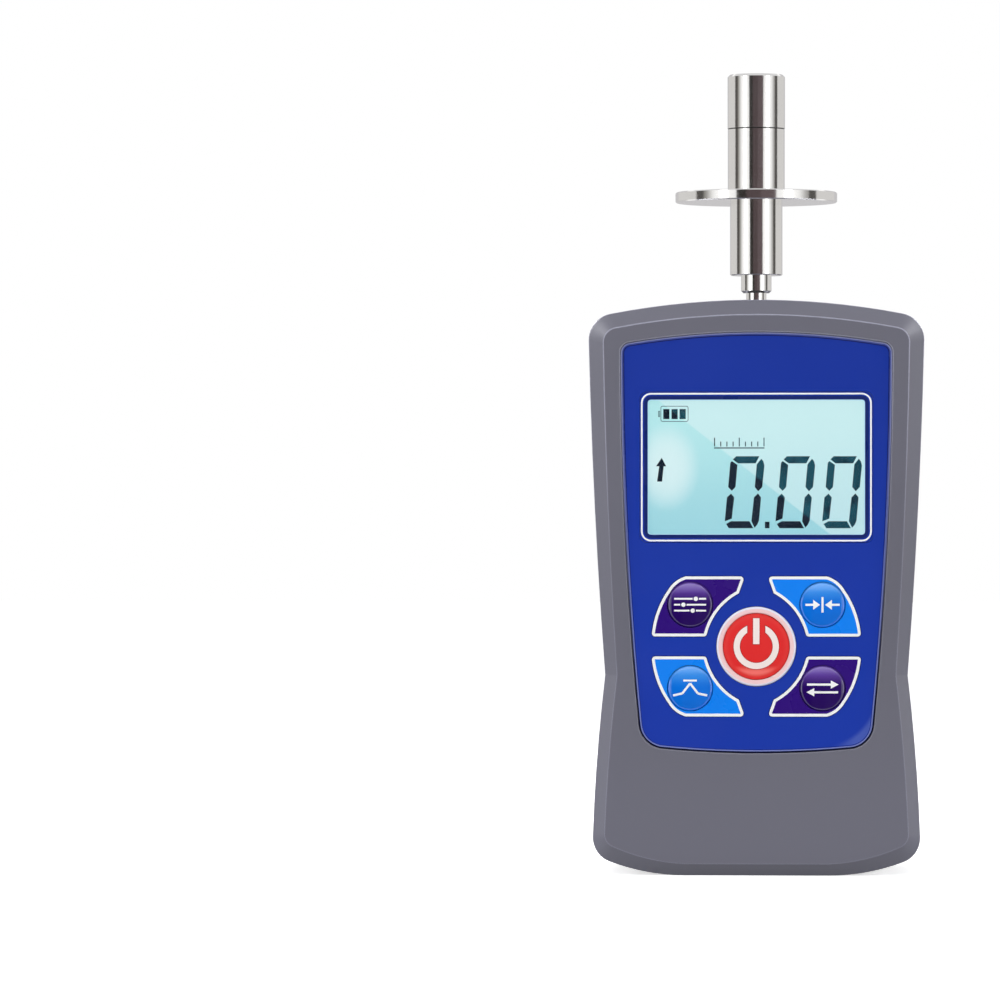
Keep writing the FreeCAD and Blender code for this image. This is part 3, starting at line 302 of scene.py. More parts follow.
class PaintedGlare(Effect):
    """A painted glare: a reflection painted over the display above a falling diagonal."""

    name = "painted_glare"
    inputs = {"Vector": None}
    outputs = ("Mask",)

    def fill(self, canvas: Tree, source: Outputs) -> Inputs:
        """Mask is 1 above the diagonal; Vector counts from the display's middle."""
        axes = canvas.axes(source["Vector"])
        x = canvas.math("MULTIPLY_ADD", axes["X"], 0.78 / MM, 1.83)
        across = canvas.math("MULTIPLY_ADD", axes["Z"], 1.0 / MM, x)
        return {"Mask": canvas.ramp(across, -0.25, 0.25)}


class EdgeHighlight(Effect):
    """Finds edges for a painted highlight by how far a rounded normal leans from the surface's own.
    """

    name = "edge_highlight"
    inputs = {"Rounded": None}
    outputs = ("Edge",)

    def fill(self, canvas: Tree, source: Outputs) -> Inputs:
        """Edge is 0 on open faces and 1 where the surface turns sharply."""
        own = canvas.add("ShaderNodeNewGeometry").outputs["Normal"]
        lean = canvas.add("ShaderNodeVectorMath", {0: source["Rounded"], 1: own},
                          operation="DOT_PRODUCT").outputs["Value"]
        return {"Edge": canvas.ramp(lean, 0.999, 0.975)}


class Handling(Effect):
    """Faint smears on a glossy surface, as uneven gloss."""

    name = "handling"
    inputs = {"Vector": None, "Low": 0.1, "High": 0.2}
    outputs = ("Roughness",)

    def fill(self, canvas: Tree, source: Outputs) -> Inputs:
        """Low and High are the roughness where the surface is clean and where it is smeared."""
        smear = canvas.noise(source["Vector"], 90.0, 4.0, Distortion=0.6)
        spread = canvas.add("ShaderNodeMapRange", {
            0: smear, 1: 0.35, 2: 0.75, 3: source["Low"], 4: source["High"]})
        return {"Roughness": spread.outputs[0]}


GRAIN = MouldGrain()
TURNING = TurningMarks()
SMEARS = Handling()
EDGE_HIGHLIGHT = EdgeHighlight()
PAINTED_GLARE = PaintedGlare()
MADE: dict["Finish", bpy.types.Material] = {}


@dataclass(frozen=True)
class Finish:
    """A surface finish; each kind below builds its own material.

    Attributes:
        name: The finish's name.
        colour: Its colour.
    """

    name: str
    colour: Colour

    def material(self) -> bpy.types.Material:
        """Builds the material on its first use.

        Returns:
            The material.
        """
        if self not in MADE:
            made = MADE[self] = bpy.data.materials.new(self.name + "_finish")
            canvas = Tree.of(made)
            shader = canvas.add("ShaderNodeBsdfPrincipled")
            canvas.add("ShaderNodeOutputMaterial", {0: shader.outputs[0]})
            canvas.feed(shader, self.dress(canvas))
        return MADE[self]

    def shade(self, share: float) -> Colour:
        """Returns the finish's colour made darker or lighter by a share."""
        return (*(min(1.0, c * share) for c in self.colour[:3]), 1.0)

    def vary(self, canvas: Tree, tone: Socket, low: float, high: float) -> Socket:
        """Returns the colour, which goes from one share to another with a tone."""
        return canvas.mix(tone, self.shade(low), self.shade(high))

    def film(self, canvas: Tree, where: Socket, grain: Sequence[float],
             gloss: Point) -> tuple[Socket, Inputs]:
        """Adds a slightly uneven, smeared film.

        Args:
            canvas: The material's tree.
            where: The place on the piece.
            grain: A speck's size, the bump's strength and a blotch's size.
            gloss: Roughness where it is clean and where it is smeared.

        Returns:
            The grain's tone, and the shader's roughness and normal by input name.
        """
        speck, depth, blotch = grain
        specks = GRAIN.put(canvas, Vector=where, Grain=speck, Depth=depth, Blotch=blotch)
        smears = SMEARS.put(canvas, Vector=where, Low=gloss[0], High=gloss[1])
        return specks["Tone"], {"Roughness": smears["Roughness"], "Normal": specks["Normal"]}

    def dress(self, canvas: Tree) -> Inputs:
        """Builds the material's nodes.

        Args:
            canvas: The material's tree.

        Returns:
            Values and sockets for the Principled BSDF, by input name.
        """
        raise NotImplementedError


@dataclass(frozen=True)
class MouldedPlastic(Finish):
    """Matt moulded plastic with a fine eroded grain and rounded edges with a painted highlight.

    Attributes:
        roughness: Mean roughness.
        grain: Size of a speck in millimetres.
        depth: Strength of the grain's bump.
        contrast: How far the tone strays to either side.
        edge: Radius of an edge's rounding in millimetres.
        painted_edge_gain: How much brighter the painted highlight makes an edge, at the
            instrument's top.
        painted_low_gain: How much brighter the surface is painted at the instrument's foot, as
            painted light.
    """

    roughness: float = 0.36
    grain: float = 0.28
    depth: float = 0.3
    contrast: float = 0.06
    edge: float = 0.34
    painted_edge_gain: float = 3.0
    painted_low_gain: float = 1.0

    def dress(self, canvas: Tree) -> Inputs:
        """Grain in the normal, blotches in colour and roughness, a painted highlight on the edges
        and painted light at the foot.
        """
        rounded_off = canvas.add("ShaderNodeBevel", {"Radius": self.edge * MM}, samples=6)
        normal = rounded_off.outputs[0]
        grain = GRAIN.put(canvas, Vector=canvas.place(), Grain=self.grain, Depth=self.depth,
                          Normal=normal)
        height = canvas.height()
        # Painted highlight: edges are brightened, more strongly towards the instrument's top.
        lit_from_above = canvas.math("MULTIPLY_ADD", canvas.ramp(height, 60 * MM, 108 * MM), 0.7, 0.3)
        highlit_edge = canvas.math("MULTIPLY", EDGE_HIGHLIGHT.put(canvas, Rounded=normal)["Edge"], lit_from_above)
        colour = self.vary(canvas, grain["Tone"], 1 - self.contrast, 1 + self.contrast)
        # Painted light: the colour brightens towards the instrument's foot.
        foot_lit = canvas.mix(canvas.ramp(height, 60 * MM, 0.0), colour, self.shade(self.painted_low_gain))
        return {"Base Color": canvas.mix(highlit_edge, foot_lit, self.shade(self.painted_edge_gain)),
                "Roughness": canvas.math("MULTIPLY_ADD", grain["Roughening"], 0.12,
                                         self.roughness - 0.06),
                "Normal": grain["Normal"], "Specular IOR Level": 0.35}


@dataclass(frozen=True)
class SmoothFilm(Finish):
    """Smooth, smeared and slightly uneven: gloss plastic, or ink under a clear film.

    Attributes:
        gloss: Roughness where it is clean and where it is smeared.
        grain: A speck's size, the bump's strength and a blotch's size.
        tones: Shares of the colour between which its tone strays.
        specular: The film's reflection.
        coat: Weight of a clear coat.
        second: A colour that it changes to with height, if it does, as painted light and shade.
        heights: Where that painted change starts and ends, in millimetres.
    """

    gloss: Point = (0.03, 0.06)
    grain: tuple[float, float, float] = SMOOTH_GRAIN
    tones: Point = (0.97, 1.03)
    specular: float = 0.5
    coat: float = 0.0
    second: Colour | None = None
    heights: Point = (0.0, 0.0)

    def dress(self, canvas: Tree) -> Inputs:
        """Smears in roughness, tone in colour, a weak bump and painted light that changes with
        height.
        """
        tone, film = self.film(canvas, canvas.place(), self.grain, self.gloss)
        colour = self.vary(canvas, tone, *self.tones)
        # The second colour is painted light and shade that changes with height.
        if self.second:
            start, end = self.heights
            share = canvas.ramp(canvas.height(), start * MM, end * MM)
            colour = canvas.mix(share, colour, self.second)
        return {"Base Color": colour, "Specular IOR Level": self.specular,
                "Coat Weight": self.coat, "Coat Roughness": 0.05, **film}


@dataclass(frozen=True)
class BandedPlastic(Finish):
    """Gloss plastic of a round piece.

    Attributes:
        rim_colour: Colour of its rim.
        centre: The piece's middle in millimetres.
        border: Radius where the rim starts, in millimetres.
        blend: Half the width of that change.
        gloss: Roughness where it is clean.
        glint: Colour of a painted glint low down inside the rim, if it has one.
    """

    rim_colour: Colour = (1, 1, 1, 1)
    centre: tuple[float, float, float] = (0, 0, POWER_HEIGHT)
    border: float = 1.0
    blend: float = 0.1
    gloss: float = 0.15
    glint: Colour | None = None

    def dress(self, canvas: Tree) -> Inputs:
        """The distance from the piece's axis chooses the colour, smears the roughness."""
        where = canvas.place(self.centre)
        axes = canvas.axes(where)
        rim = canvas.ramp(canvas.length(axes["X"], axes["Z"]), (self.border - self.blend) * MM,
                          (self.border + self.blend) * MM)
        colour = canvas.mix(rim, self.colour, self.rim_colour)
        # Painted glint: a paler crescent low down inside the rim.
        if self.glint:
            low = canvas.math("MULTIPLY", canvas.ramp(axes["Z"], -3.6 * MM, -5.0 * MM),
                              canvas.math("SUBTRACT", 1.0, rim))
            colour = canvas.mix(low, colour, self.glint)
        tone, film = self.film(canvas, where, SMOOTH_GRAIN, (self.gloss, self.gloss + 0.1))
        return {"Base Color": canvas.scaled(colour, tone, 0.06, 0.97), **film}


@dataclass(frozen=True)
class TurnedSteel(Finish):
    """Polished stainless bar with the faint rings of its turning.

    Attributes:
        roughness: Roughness where it is clean.
        pitch: Distance between rings in millimetres.
        depth: Strength of their bump.
        seam: Height of the ring line in millimetres, where shade is painted.
    """

    roughness: float = 0.09
    pitch: float = 0.12
    depth: float = 0.08
    seam: float = 145.9

    def dress(self, canvas: Tree) -> Inputs:
        """Full metal, rings in the normal, wiped patches in the roughness, painted shade in the
        seam.
        """
        marks = TURNING.put(canvas, Vector=canvas.place(), Pitch=self.pitch, Depth=self.depth)
        wiped = marks["Roughening"]
        # Painted shade: the colour goes dark in a thin band at the seam.
        above = canvas.math("SUBTRACT", canvas.height(), self.seam * MM)
        seam_shade = canvas.ramp(canvas.math("ABSOLUTE", above), 0.16 * MM, 0.06 * MM)
        colour = canvas.mix(seam_shade, self.vary(canvas, wiped, 0.97, 1.02), self.shade(0.12))
        return {"Base Color": colour, "Normal": marks["Normal"], "Metallic": 1.0,
                "Roughness": canvas.math("MULTIPLY_ADD", wiped, 0.05, self.roughness)}


@dataclass(frozen=True)
class PlatedMetal(Finish):
    """Plated or machined metal of an inner or rear part.

    Attributes:
        roughness: Mean roughness.
    """

    roughness: float = 0.3

    def dress(self, canvas: Tree) -> Inputs:
        """Metal with cloudy plating and a fine grain."""
        grain = GRAIN.put(canvas, Vector=canvas.place(), Grain=0.4, Depth=0.15, Blotch=6.0)
        return {"Base Color": self.vary(canvas, grain["Tone"], 0.82, 1.1),
                "Roughness": canvas.math("MULTIPLY_ADD", grain["Roughening"], 0.2,
                                         self.roughness - 0.1),
                "Normal": grain["Normal"], "Metallic": 1.0}


@dataclass(frozen=True)
class SoftRubber(Finish):
    """Dull rubber with a powdery bloom."""

    def dress(self, canvas: Tree) -> Inputs:
        """Bloom in colour and a coarse dull grain."""
        grain = GRAIN.put(canvas, Vector=canvas.place(), Grain=0.15, Depth=0.5, Blotch=4.0)
        return {"Base Color": self.vary(canvas, grain["Tone"], 0.8, 1.3),
                "Normal": grain["Normal"], "Roughness": 0.8, "Specular IOR Level": 0.25}


@dataclass(frozen=True)
class SegmentInk(Finish):
    """A switched-on segment of the display, paler and greener under the painted glare.

    Attributes:
        painted_glare_colour: Its colour under the painted glare.
        glow: How strongly it shines.
    """

    painted_glare_colour: Colour = (0, 0, 0, 1)
    glow: float = 0.3

    def dress(self, canvas: Tree) -> Inputs:
        """The painted glare's mask and the cell's faint mottle choose the colour."""
        where = canvas.place((0, 0, DISPLAY_HEIGHT))
        mottle = canvas.ramp(canvas.noise(where, 260.0), 0.2, 0.6)
        share = canvas.math("MULTIPLY", PAINTED_GLARE.put(canvas, Vector=where)["Mask"], mottle)
        colour = canvas.mix(share, self.colour, self.painted_glare_colour)
        return {"Base Color": colour, "Emission Color": colour, "Emission Strength": self.glow,
                "Roughness": 0.4, "Specular IOR Level": 0.1}


@dataclass(frozen=True)
class ClearPane(Finish):
    """Clear acrylic window."""

    def dress(self, canvas: Tree) -> Inputs:
        """Plain transmission, with faint smears in its gloss."""
        smears = SMEARS.put(canvas, Vector=canvas.place(), Low=0.0, High=0.03)
        return {"Roughness": smears["Roughness"], "Base Color": self.colour,
                "Transmission Weight": 1.0, "IOR": 1.12}


@dataclass(frozen=True)
class FacePaint(Finish):
    """The faceplate's blue film, paler towards its foot, with a painted highlight in a corner.

    Attributes:
        low_colour: The film's colour at its foot.
        painted_highlight_colour: Colour of the painted highlight in the lower right corner.
        painted_highlight_centre: Middle of the circle outside which the painted highlight lies, in
            millimetres.
        painted_highlight_radius: That circle's radius in millimetres.
    """

    low_colour: Colour = (0, 0, 0, 1)
    painted_highlight_colour: Colour = (1, 1, 1, 1)
    painted_highlight_centre: Point = (12.56, 35.98)
    painted_highlight_radius: float = 10.9

    def dress(self, canvas: Tree) -> Inputs:
        """A gradient over the plate's height and a painted highlight in a corner, under a satin
        film.
        """
        fall = canvas.ramp(canvas.height(), 100 * MM, 25 * MM)
        film = canvas.mix(fall, self.colour, self.low_colour)
        # Painted highlight: a paler crescent in the lower right corner, outside a circle.
        x, z = self.painted_highlight_centre
        offset = canvas.axes(canvas.place((x, 0, z)))
        outside = canvas.ramp(canvas.length(offset["X"], offset["Z"]),
                              (self.painted_highlight_radius - 0.5) * MM, (self.painted_highlight_radius + 0.6) * MM)
        corner = canvas.math("MULTIPLY", canvas.ramp(offset["X"], 1.5 * MM, 7.0 * MM),
                             canvas.ramp(offset["Z"], -2.0 * MM, -5.5 * MM))
        colour = canvas.mix(canvas.math("MULTIPLY", outside, corner), film, self.painted_highlight_colour)
        tone, satin = self.film(canvas, canvas.place(), (0.3, 0.12, 25.0), (0.3, 0.42))
        return {"Base Color": canvas.scaled(colour, tone, 0.16, 0.92),
                "Specular IOR Level": 0.2, **satin}


@dataclass(frozen=True)
class LitPanel(Finish):
    """Liquid-crystal glass lit from behind: an uneven pale glow under a polariser, with a painted
    glare.

    Attributes:
        low_colour: The glow's colour at its foot.
        pale_colour: Its colour at the lamp and under the painted glare.
        half_width: Half the glass's width in millimetres.
        half_height: Half its height in millimetres.
    """

    low_colour: Colour = (0, 0, 0, 1)
    pale_colour: Colour = (1, 1, 1, 1)
    half_width: float = 20.0
    half_height: float = 13.0

    def dress(self, canvas: Tree) -> Inputs:
        """The glow is strongest at the left, and a painted glare lies above a diagonal."""
        where = canvas.place((0, 0, DISPLAY_HEIGHT))
        axes = canvas.axes(where)
        x = canvas.math("DIVIDE", axes["X"], self.half_width * MM)
        z = canvas.math("DIVIDE", axes["Z"], self.half_height * MM)
        base = canvas.mix(canvas.ramp(z, 0.9, -1.1), self.colour, self.low_colour)
        aside = canvas.math("ADD", x, 0.87)
        flattened = canvas.math("MULTIPLY", z, canvas.math("MULTIPLY", z, 0.24))
        spread = canvas.math("MULTIPLY_ADD", aside, aside, flattened)
        lamp = canvas.math("MULTIPLY", canvas.ramp(spread, 0.12, 0.0), 0.75)
        lit = canvas.mix(lamp, base, self.pale_colour)
        # Painted glare: a reflection painted into the glow above a diagonal.
        painted_glare = canvas.math("MULTIPLY", PAINTED_GLARE.put(canvas, Vector=where)["Mask"], 0.45)
        with_painted_glare = canvas.mix(painted_glare, lit, self.pale_colour)
        cells = canvas.noise(where, 2500.0)
        return {"Emission Color": canvas.scaled(with_painted_glare, cells, 0.05, 0.975),
                "Emission Strength": 0.9, "Base Color": (0.03, 0.04, 0.04, 1),
                "Roughness": 0.2}


@dataclass(frozen=True)
class BoardLacquer(Finish):
    """Green solder lacquer with faint tracks under it."""

    def dress(self, canvas: Tree) -> Inputs:
        """Tracks as a brick pattern in the colour and height."""
        axes = canvas.axes(canvas.place())
        flat = canvas.add("ShaderNodeCombineXYZ", {"X": axes["X"], "Y": axes["Z"]})
        tracks = canvas.add("ShaderNodeTexBrick", {
            "Vector": flat.outputs[0], "Color1": (1, 1, 1, 1), "Color2": (0.8, 0.8, 0.8, 1),
            "Mortar": (0, 0, 0, 1), "Scale": 160.0, "Mortar Size": 0.05}).outputs
        return {"Base Color": self.vary(canvas, tracks["Color"], 0.55, 1.2),
                "Normal": canvas.bump(tracks["Fac"], 0.3, 0.02), "Roughness": 0.25}


GREY = MouldedPlastic("housing_grey", srgb(106, 106, 118), painted_low_gain=1.16)
BLUE = FacePaint("faceplate_blue", srgb(15, 50, 157), low_colour=srgb(22, 57, 172),
                 painted_highlight_colour=srgb(70, 92, 184))
PANE = ClearPane("window_clear", (1, 1, 1, 1))
GLASS = LitPanel("lcd_glass", srgb(176, 232, 235), low_colour=srgb(150, 212, 224),
                 pale_colour=srgb(224, 246, 248))
RING = BandedPlastic("ring_pale", srgb(252, 214, 216), rim_colour=srgb(240, 240, 255),
                     border=7.32, gloss=0.2)
DIFFUSER = SmoothFilm("diffuser_white", srgb(228, 234, 236), gloss=(0.3, 0.45))
RUBBER_GREY = SoftRubber("rubber_grey", srgb(120, 120, 122))
RUBBER_BLACK = SoftRubber("rubber_black", srgb(30, 30, 32))
BLACK = MouldedPlastic("plastic_black", srgb(28, 28, 31), roughness=0.35, grain=0.2)
WHITE = MouldedPlastic("plastic_white", srgb(226, 224, 216), roughness=0.4, grain=0.2)
BOARD = BoardLacquer("board_green", srgb(22, 88, 50))
NICKEL = PlatedMetal("nickel", srgb(196, 192, 184), roughness=0.25)
ZINC = PlatedMetal("zinc_steel", srgb(176, 180, 184), roughness=0.4)
BLACK_STEEL = PlatedMetal("black_steel", srgb(52, 52, 55), roughness=0.4)
CELL = PlatedMetal("cell_aluminium", srgb(198, 200, 204), roughness=0.32)
BRASS = PlatedMetal("brass", srgb(204, 168, 96), roughness=0.28)
STEEL = TurnedSteel("polished_steel", srgb(246, 245, 243))
SPRING = PlatedMetal("spring_wire", srgb(186, 184, 180), roughness=0.22)
JACKET = SmoothFilm("battery_jacket", srgb(58, 92, 70), gloss=(0.2, 0.35))
# The keys' second colours are a painted highlight over each dome's upper part.
PURPLE_KEY = SmoothFilm("key_purple", srgb(38, 4, 98), coat=1.0, second=srgb(104, 70, 168))
SKY_KEY = SmoothFilm("key_blue", srgb(4, 118, 232), coat=1.0, second=srgb(66, 156, 244))
RED_KEY = BandedPlastic("key_red", srgb(235, 48, 48), rim_colour=srgb(236, 58, 56),
                        border=5.6, blend=0.4, glint=srgb(255, 120, 112))
WHITE_INK = SmoothFilm("ink_white", srgb(252, 254, 255), gloss=(0.25, 0.37),
                       grain=(0.12, 0.05, 8.0), tones=(0.95, 1.04), specular=0.25,
                       heights=(98, 30))
PURPLE_INK = replace(WHITE_INK, name="ink_purple", colour=srgb(48, 8, 124))
SKY_INK = replace(WHITE_INK, name="ink_sky", colour=srgb(0, 133, 252))
NAVY_INK = replace(WHITE_INK, name="ink_navy", colour=srgb(14, 34, 104))
PALE_INK = replace(WHITE_INK, name="ink_pale", colour=srgb(176, 220, 248))
DEEP_RED_INK = replace(WHITE_INK, name="ink_deep_red", colour=srgb(170, 30, 34))
ROSE_INK = replace(WHITE_INK, name="ink_rose", colour=srgb(255, 238, 234))
# Painted light and shade along the faceplate's edge: bands whose colours change from top to foot.
PAINTED_SEAT_LIGHT_AND_SHADE = replace(WHITE_INK, name="painted_seat_light_and_shade", colour=srgb(132, 138, 184),
                   second=srgb(6, 12, 46))
PAINTED_EDGE_LIGHT = replace(WHITE_INK, name="edge_lit", colour=srgb(62, 76, 150),
                  second=srgb(120, 132, 198))
PAINTED_EDGE_SHADE = replace(WHITE_INK, name="edge_shade", colour=srgb(4, 18, 84),
                    second=srgb(24, 48, 142))
HALO = SegmentInk("lcd_halo", srgb(214, 246, 246), painted_glare_colour=srgb(236, 252, 252), glow=1.0)
SEGMENT = SegmentInk("lcd_segment", srgb(8, 24, 40), painted_glare_colour=srgb(16, 66, 80))

NODE_FINISHES: dict[Finish, tuple[str, ...]] = {
    GREY: ("front_shell", "rear_shell", "battery_door"),
    BLUE: ("faceplate",),
    PANE: ("display_window",),
    GLASS: ("lcd_panel",),
    RING: ("power_key_ring",),
    DIFFUSER: ("lcd_backlight",),
    RUBBER_GREY: ("lcd_contact_strips",),
    RUBBER_BLACK: ("shaft_seal",),
    BLACK: ("lcd_frame", "key_switches", "controller_chip", "amplifier_chip", "sounder",
            *(key + "_switch_plunger" for key in (*KEY_PLACES, "power"))),
    WHITE: ("load_cell_socket", "battery_socket"),
    BOARD: ("main_board",),
    NICKEL: ("crystal", "battery_contact_plates"),
    ZINC: ("housing_screws", "board_screws", "bracket_screws", "load_cell_bracket"),
    BLACK_STEEL: ("load_cell_bolt",),
    CELL: ("load_cell",),
    BRASS: ("mounting_inserts",),
    STEEL: ("load_shaft", "probe_adapter", "stop_disc", "probe_stem", "measuring_tip"),
    JACKET: tuple("battery_cell_%d" % number for number in (1, 2, 3, 4)),
}


UPRIGHT = Matrix.Rotation(math.pi / 2, 4, "X")


def lift(point: Point) -> Vector:
    """Turns a place on the front, x and z in millimetres, into a point in metres."""
    return Vector((point[0] * MM, 0.0, point[1] * MM))


class Plane(Enum):
    """A plane that a pen draws in, by two numbers in millimetres."""

    FRONT = "x and z, facing the front"
    SECTION = "x and y, through the middle of a round piece"

    @property
    def axis(self) -> tuple[float, float, float]:
        """The direction that turns the first number towards the second."""
        return (0, -1, 0) if self is Plane.FRONT else (0, 0, 1)

    def lift(self, point: Point) -> Vector:
        """Returns a drawn point as a place in metres."""
        first, second = point[0] * MM, point[1] * MM
        return Vector((first, 0, second) if self is Plane.FRONT else (first, second, 0))

    def flatten(self, place: Vector) -> Vector:
        """Returns a place in metres as a drawn point."""
        return Vector((place.x, place.z if self is Plane.FRONT else place.y)) / MM


class Pen:
    """Draws a flat closed shape by lines and arcs."""

    def __init__(self, start: Point, mesh: Mesh, plane: Plane = Plane.FRONT) -> None:
        """Puts the pen down.

        Args:
            start: First point in millimetres.
            mesh: Mesh to draw in.
            plane: The plane that its two numbers lie in.
        """
        self.mesh = mesh
        self.plane = plane
        self.start = start
        self.tip = bmesh.ops.create_vert(mesh, co=self.plane.lift(start))["vert"][0]

    def line(self, *ends: Point) -> "Pen":
        """Draws straight to each end in turn.

        Args:
            ends: The points.

        Returns:
            The pen.
        """
        for end in ends:
            made = bmesh.ops.extrude_vert_indiv(self.mesh, verts=[self.tip])
            self.tip = made["verts"][0]
            self.tip.co = self.plane.lift(end)
        return self

    def arc(self, middle: Point, end: Point, steps: int = 14) -> "Pen":
        """Draws the arc through a middle point to an end.

        Args:
            middle: A point on the arc.
            end: Its last point.
            steps: Straight pieces that stand for it.

        Returns:
            The pen.
        """
        start = self.plane.flatten(self.tip.co)
        centre = centre_of(start, Vector(middle), Vector(end))
        first, passed, last = (
            math.atan2(*reversed(Vector(p) - centre)) for p in (start, middle, end))
        sweep = (last - first) % math.tau
        if (passed - first) % math.tau > sweep:
            sweep -= math.tau
        made = bmesh.ops.spin(self.mesh, geom=[self.tip], cent=self.plane.lift(centre),
                              axis=self.plane.axis, angle=sweep, steps=steps)
        self.tip = next(v for v in made["geom_last"] if isinstance(v, bmesh.types.BMVert))
        return self

    def corner(self, point: Point, onward: Point, radius: float, steps: int = 5) -> "Pen":
        """Draws to a corner and rounds it.

        Args:
            point: The sharp corner.
            onward: A point that the outline goes on towards.
            radius: The rounding's radius.
            steps: Straight pieces that stand for it.

        Returns:
            The pen.
        """
        sharp = Vector(point)
        back = (self.plane.flatten(self.tip.co) - sharp).normalized()
        ahead = (Vector(onward) - sharp).normalized()
        half = back.angle(ahead) / 2
        inward = (back + ahead).normalized()
        middle = sharp + inward * (radius / math.sin(half) - radius)
        reach = radius / math.tan(half)
        self.line(sharp + back * reach)
        return self.arc(middle, sharp + ahead * reach, steps)

    def close(self) -> "Pen":
        """Draws straight back to the start."""
        return self.line(self.start)

    def face(self) -> None:
        """Fills the closed outline with one face towards the front."""
        bmesh.ops.remove_doubles(self.mesh, verts=self.mesh.verts, dist=MERGE_GAP * MM)
        bmesh.ops.contextual_create(self.mesh, geom=[e for e in self.mesh.edges if e.is_wire])
        face_front(self.mesh)


def centre_of(first: Vector, second: Vector, third: Vector) -> Vector:
    """Finds the circle through three points.

    Args:
        first: One point.
        second: Another.
        third: The last.

    Returns:
        The circle's centre.
    """
    low, high = second - first, third - first
    turn = 2 * (low.x * high.y - low.y * high.x)
    return first + Vector((high.y * low.length_squared - low.y * high.length_squared,
                           low.x * high.length_squared - high.x * low.length_squared)) / turn


def face_front(mesh: Mesh) -> None:
    """Turns every face of a flat mesh towards the front."""
    mesh.normal_update()
    bmesh.ops.reverse_faces(mesh, faces=[f for f in mesh.faces if f.normal.y > 0])


def disc(mesh: Mesh, centre: Point, radius: float, filled: bool = True) -> None:
    """Draws a circle that faces the front.

    Args:
        mesh: Mesh to draw in.
        centre: Its centre in millimetres.
        radius: Its radius in millimetres.
        filled: Whether it has a face.
    """
    bmesh.ops.create_circle(mesh, cap_ends=filled, segments=56, radius=radius * MM,
                            matrix=Matrix.Translation(lift(centre)) @ UPRIGHT)


def bar(mesh: Mesh, low: Point, high: Point) -> None:
    """Draws a rectangle that faces the front.

    Args:
        mesh: Mesh to draw in.
        low: Its lower left corner in millimetres.
        high: Its upper right corner in millimetres.
    """
    size = Vector(high) - Vector(low)
    middle = (Vector(high) + Vector(low)) / 2
    shape = Matrix.Diagonal((size.x * MM, size.y * MM, 1.0, 1.0))
    bmesh.ops.create_grid(mesh, x_segments=1, y_segments=1, size=0.5,
                          matrix=Matrix.Translation(lift(middle)) @ UPRIGHT @ shape)


def rounded(mesh: Mesh, low: Point, high: Point, corner: float) -> None:
    """Draws a rectangle with rounded corners.

    Args:
        mesh: Mesh to draw in.
        low: Its lower left corner in millimetres.
        high: Its upper right corner in millimetres.
        corner: The rounding's radius in millimetres.
    """
    pen = Pen((low[0] + corner, low[1]), mesh)
    corners = ((high[0], low[1]), high, (low[0], high[1]), low)
    for point, onward in zip(corners, (*corners[1:], corners[0])):
        pen.corner(point, onward, corner, 6)
    pen.face()


def stand(name: str, data: bpy.types.ID) -> bpy.types.Object:
    """Puts an object into the scene.

    Args:
        name: The object's name.
        data: Its mesh, lamp or camera.

    Returns:
        The object.
    """
    made = bpy.data.objects.new(name, data)
    bpy.context.scene.collection.objects.link(made)
    return made


def settle(name: str, mesh: Mesh,
           materials: Sequence[bpy.types.Material]) -> bpy.types.Object:
    """Turns a mesh into an object.

    Args:
        name: The object's name.
        mesh: Its mesh, which is freed.
        materials: Its materials in order.

    Returns:
        The object.
    """
    data = bpy.data.meshes.new(name)
    mesh.to_mesh(data)
    mesh.free()
    for material in materials:
        data.materials.append(material)
    return stand(name, data)


@dataclass(frozen=True)
class Piece:
    """A sub-assembly drawn in Blender, whose pieces ride on one CAD body.

    Attributes:
        body: The body that they ride on.
    """

    body: str = HOUSING

    def finish(self, name: str, mesh: Mesh, finishes: Sequence[Finish],
               y: float = 0.0, smooth: bool = False) -> bpy.types.Object:
        """Turns a mesh into an object of the part.

        Args:
            name: The object's name.
            mesh: Its mesh, which is freed.
            finishes: Finishes in the order of the faces' material numbers.
            y: How far a mesh drawn at y 0 is moved back, in millimetres.
            smooth: Whether its faces are shaded smooth.

        Returns:
            The new object.
        """
        bmesh.ops.translate(mesh, verts=mesh.verts, vec=(0, y * MM, 0))
        for face in mesh.faces:
            face.smooth = smooth
        for edge in mesh.edges:
            edge.smooth = edge.calc_face_angle(0.0) < SHARP_ANGLE
        made = settle(name, mesh, [finish.material() for finish in finishes])
        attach(made, self.body)
        LOG.info("piece %s: %d faces on %s", name, len(made.data.polygons), self.body)
        return made


def band(mesh: Mesh, widths: Sequence[float]) -> list[bmesh.types.BMFace]:
    """Insets a mesh's faces step by step and numbers each ring's material from 0.

    Args:
        mesh: A flat mesh.
        widths: Ring widths in millimetres, outside first.

    Returns:
        The faces inside the last ring.
    """
    middle = mesh.faces[:]
    for number, width in enumerate(widths):
        ring = bmesh.ops.inset_region(mesh, faces=middle, thickness=width * MM,
                                      use_even_offset=True, use_boundary=True)["faces"]
        for face in ring:
            face.material_index = number
    for face in middle:
        face.material_index = len(widths)
    return middle


def rings(mesh: Mesh, widths: Sequence[float]) -> None:
    """Turns a mesh's faces into open rings of the given widths, as band does."""
    bmesh.ops.delete(mesh, geom=band(mesh, widths), context="FACES_ONLY")


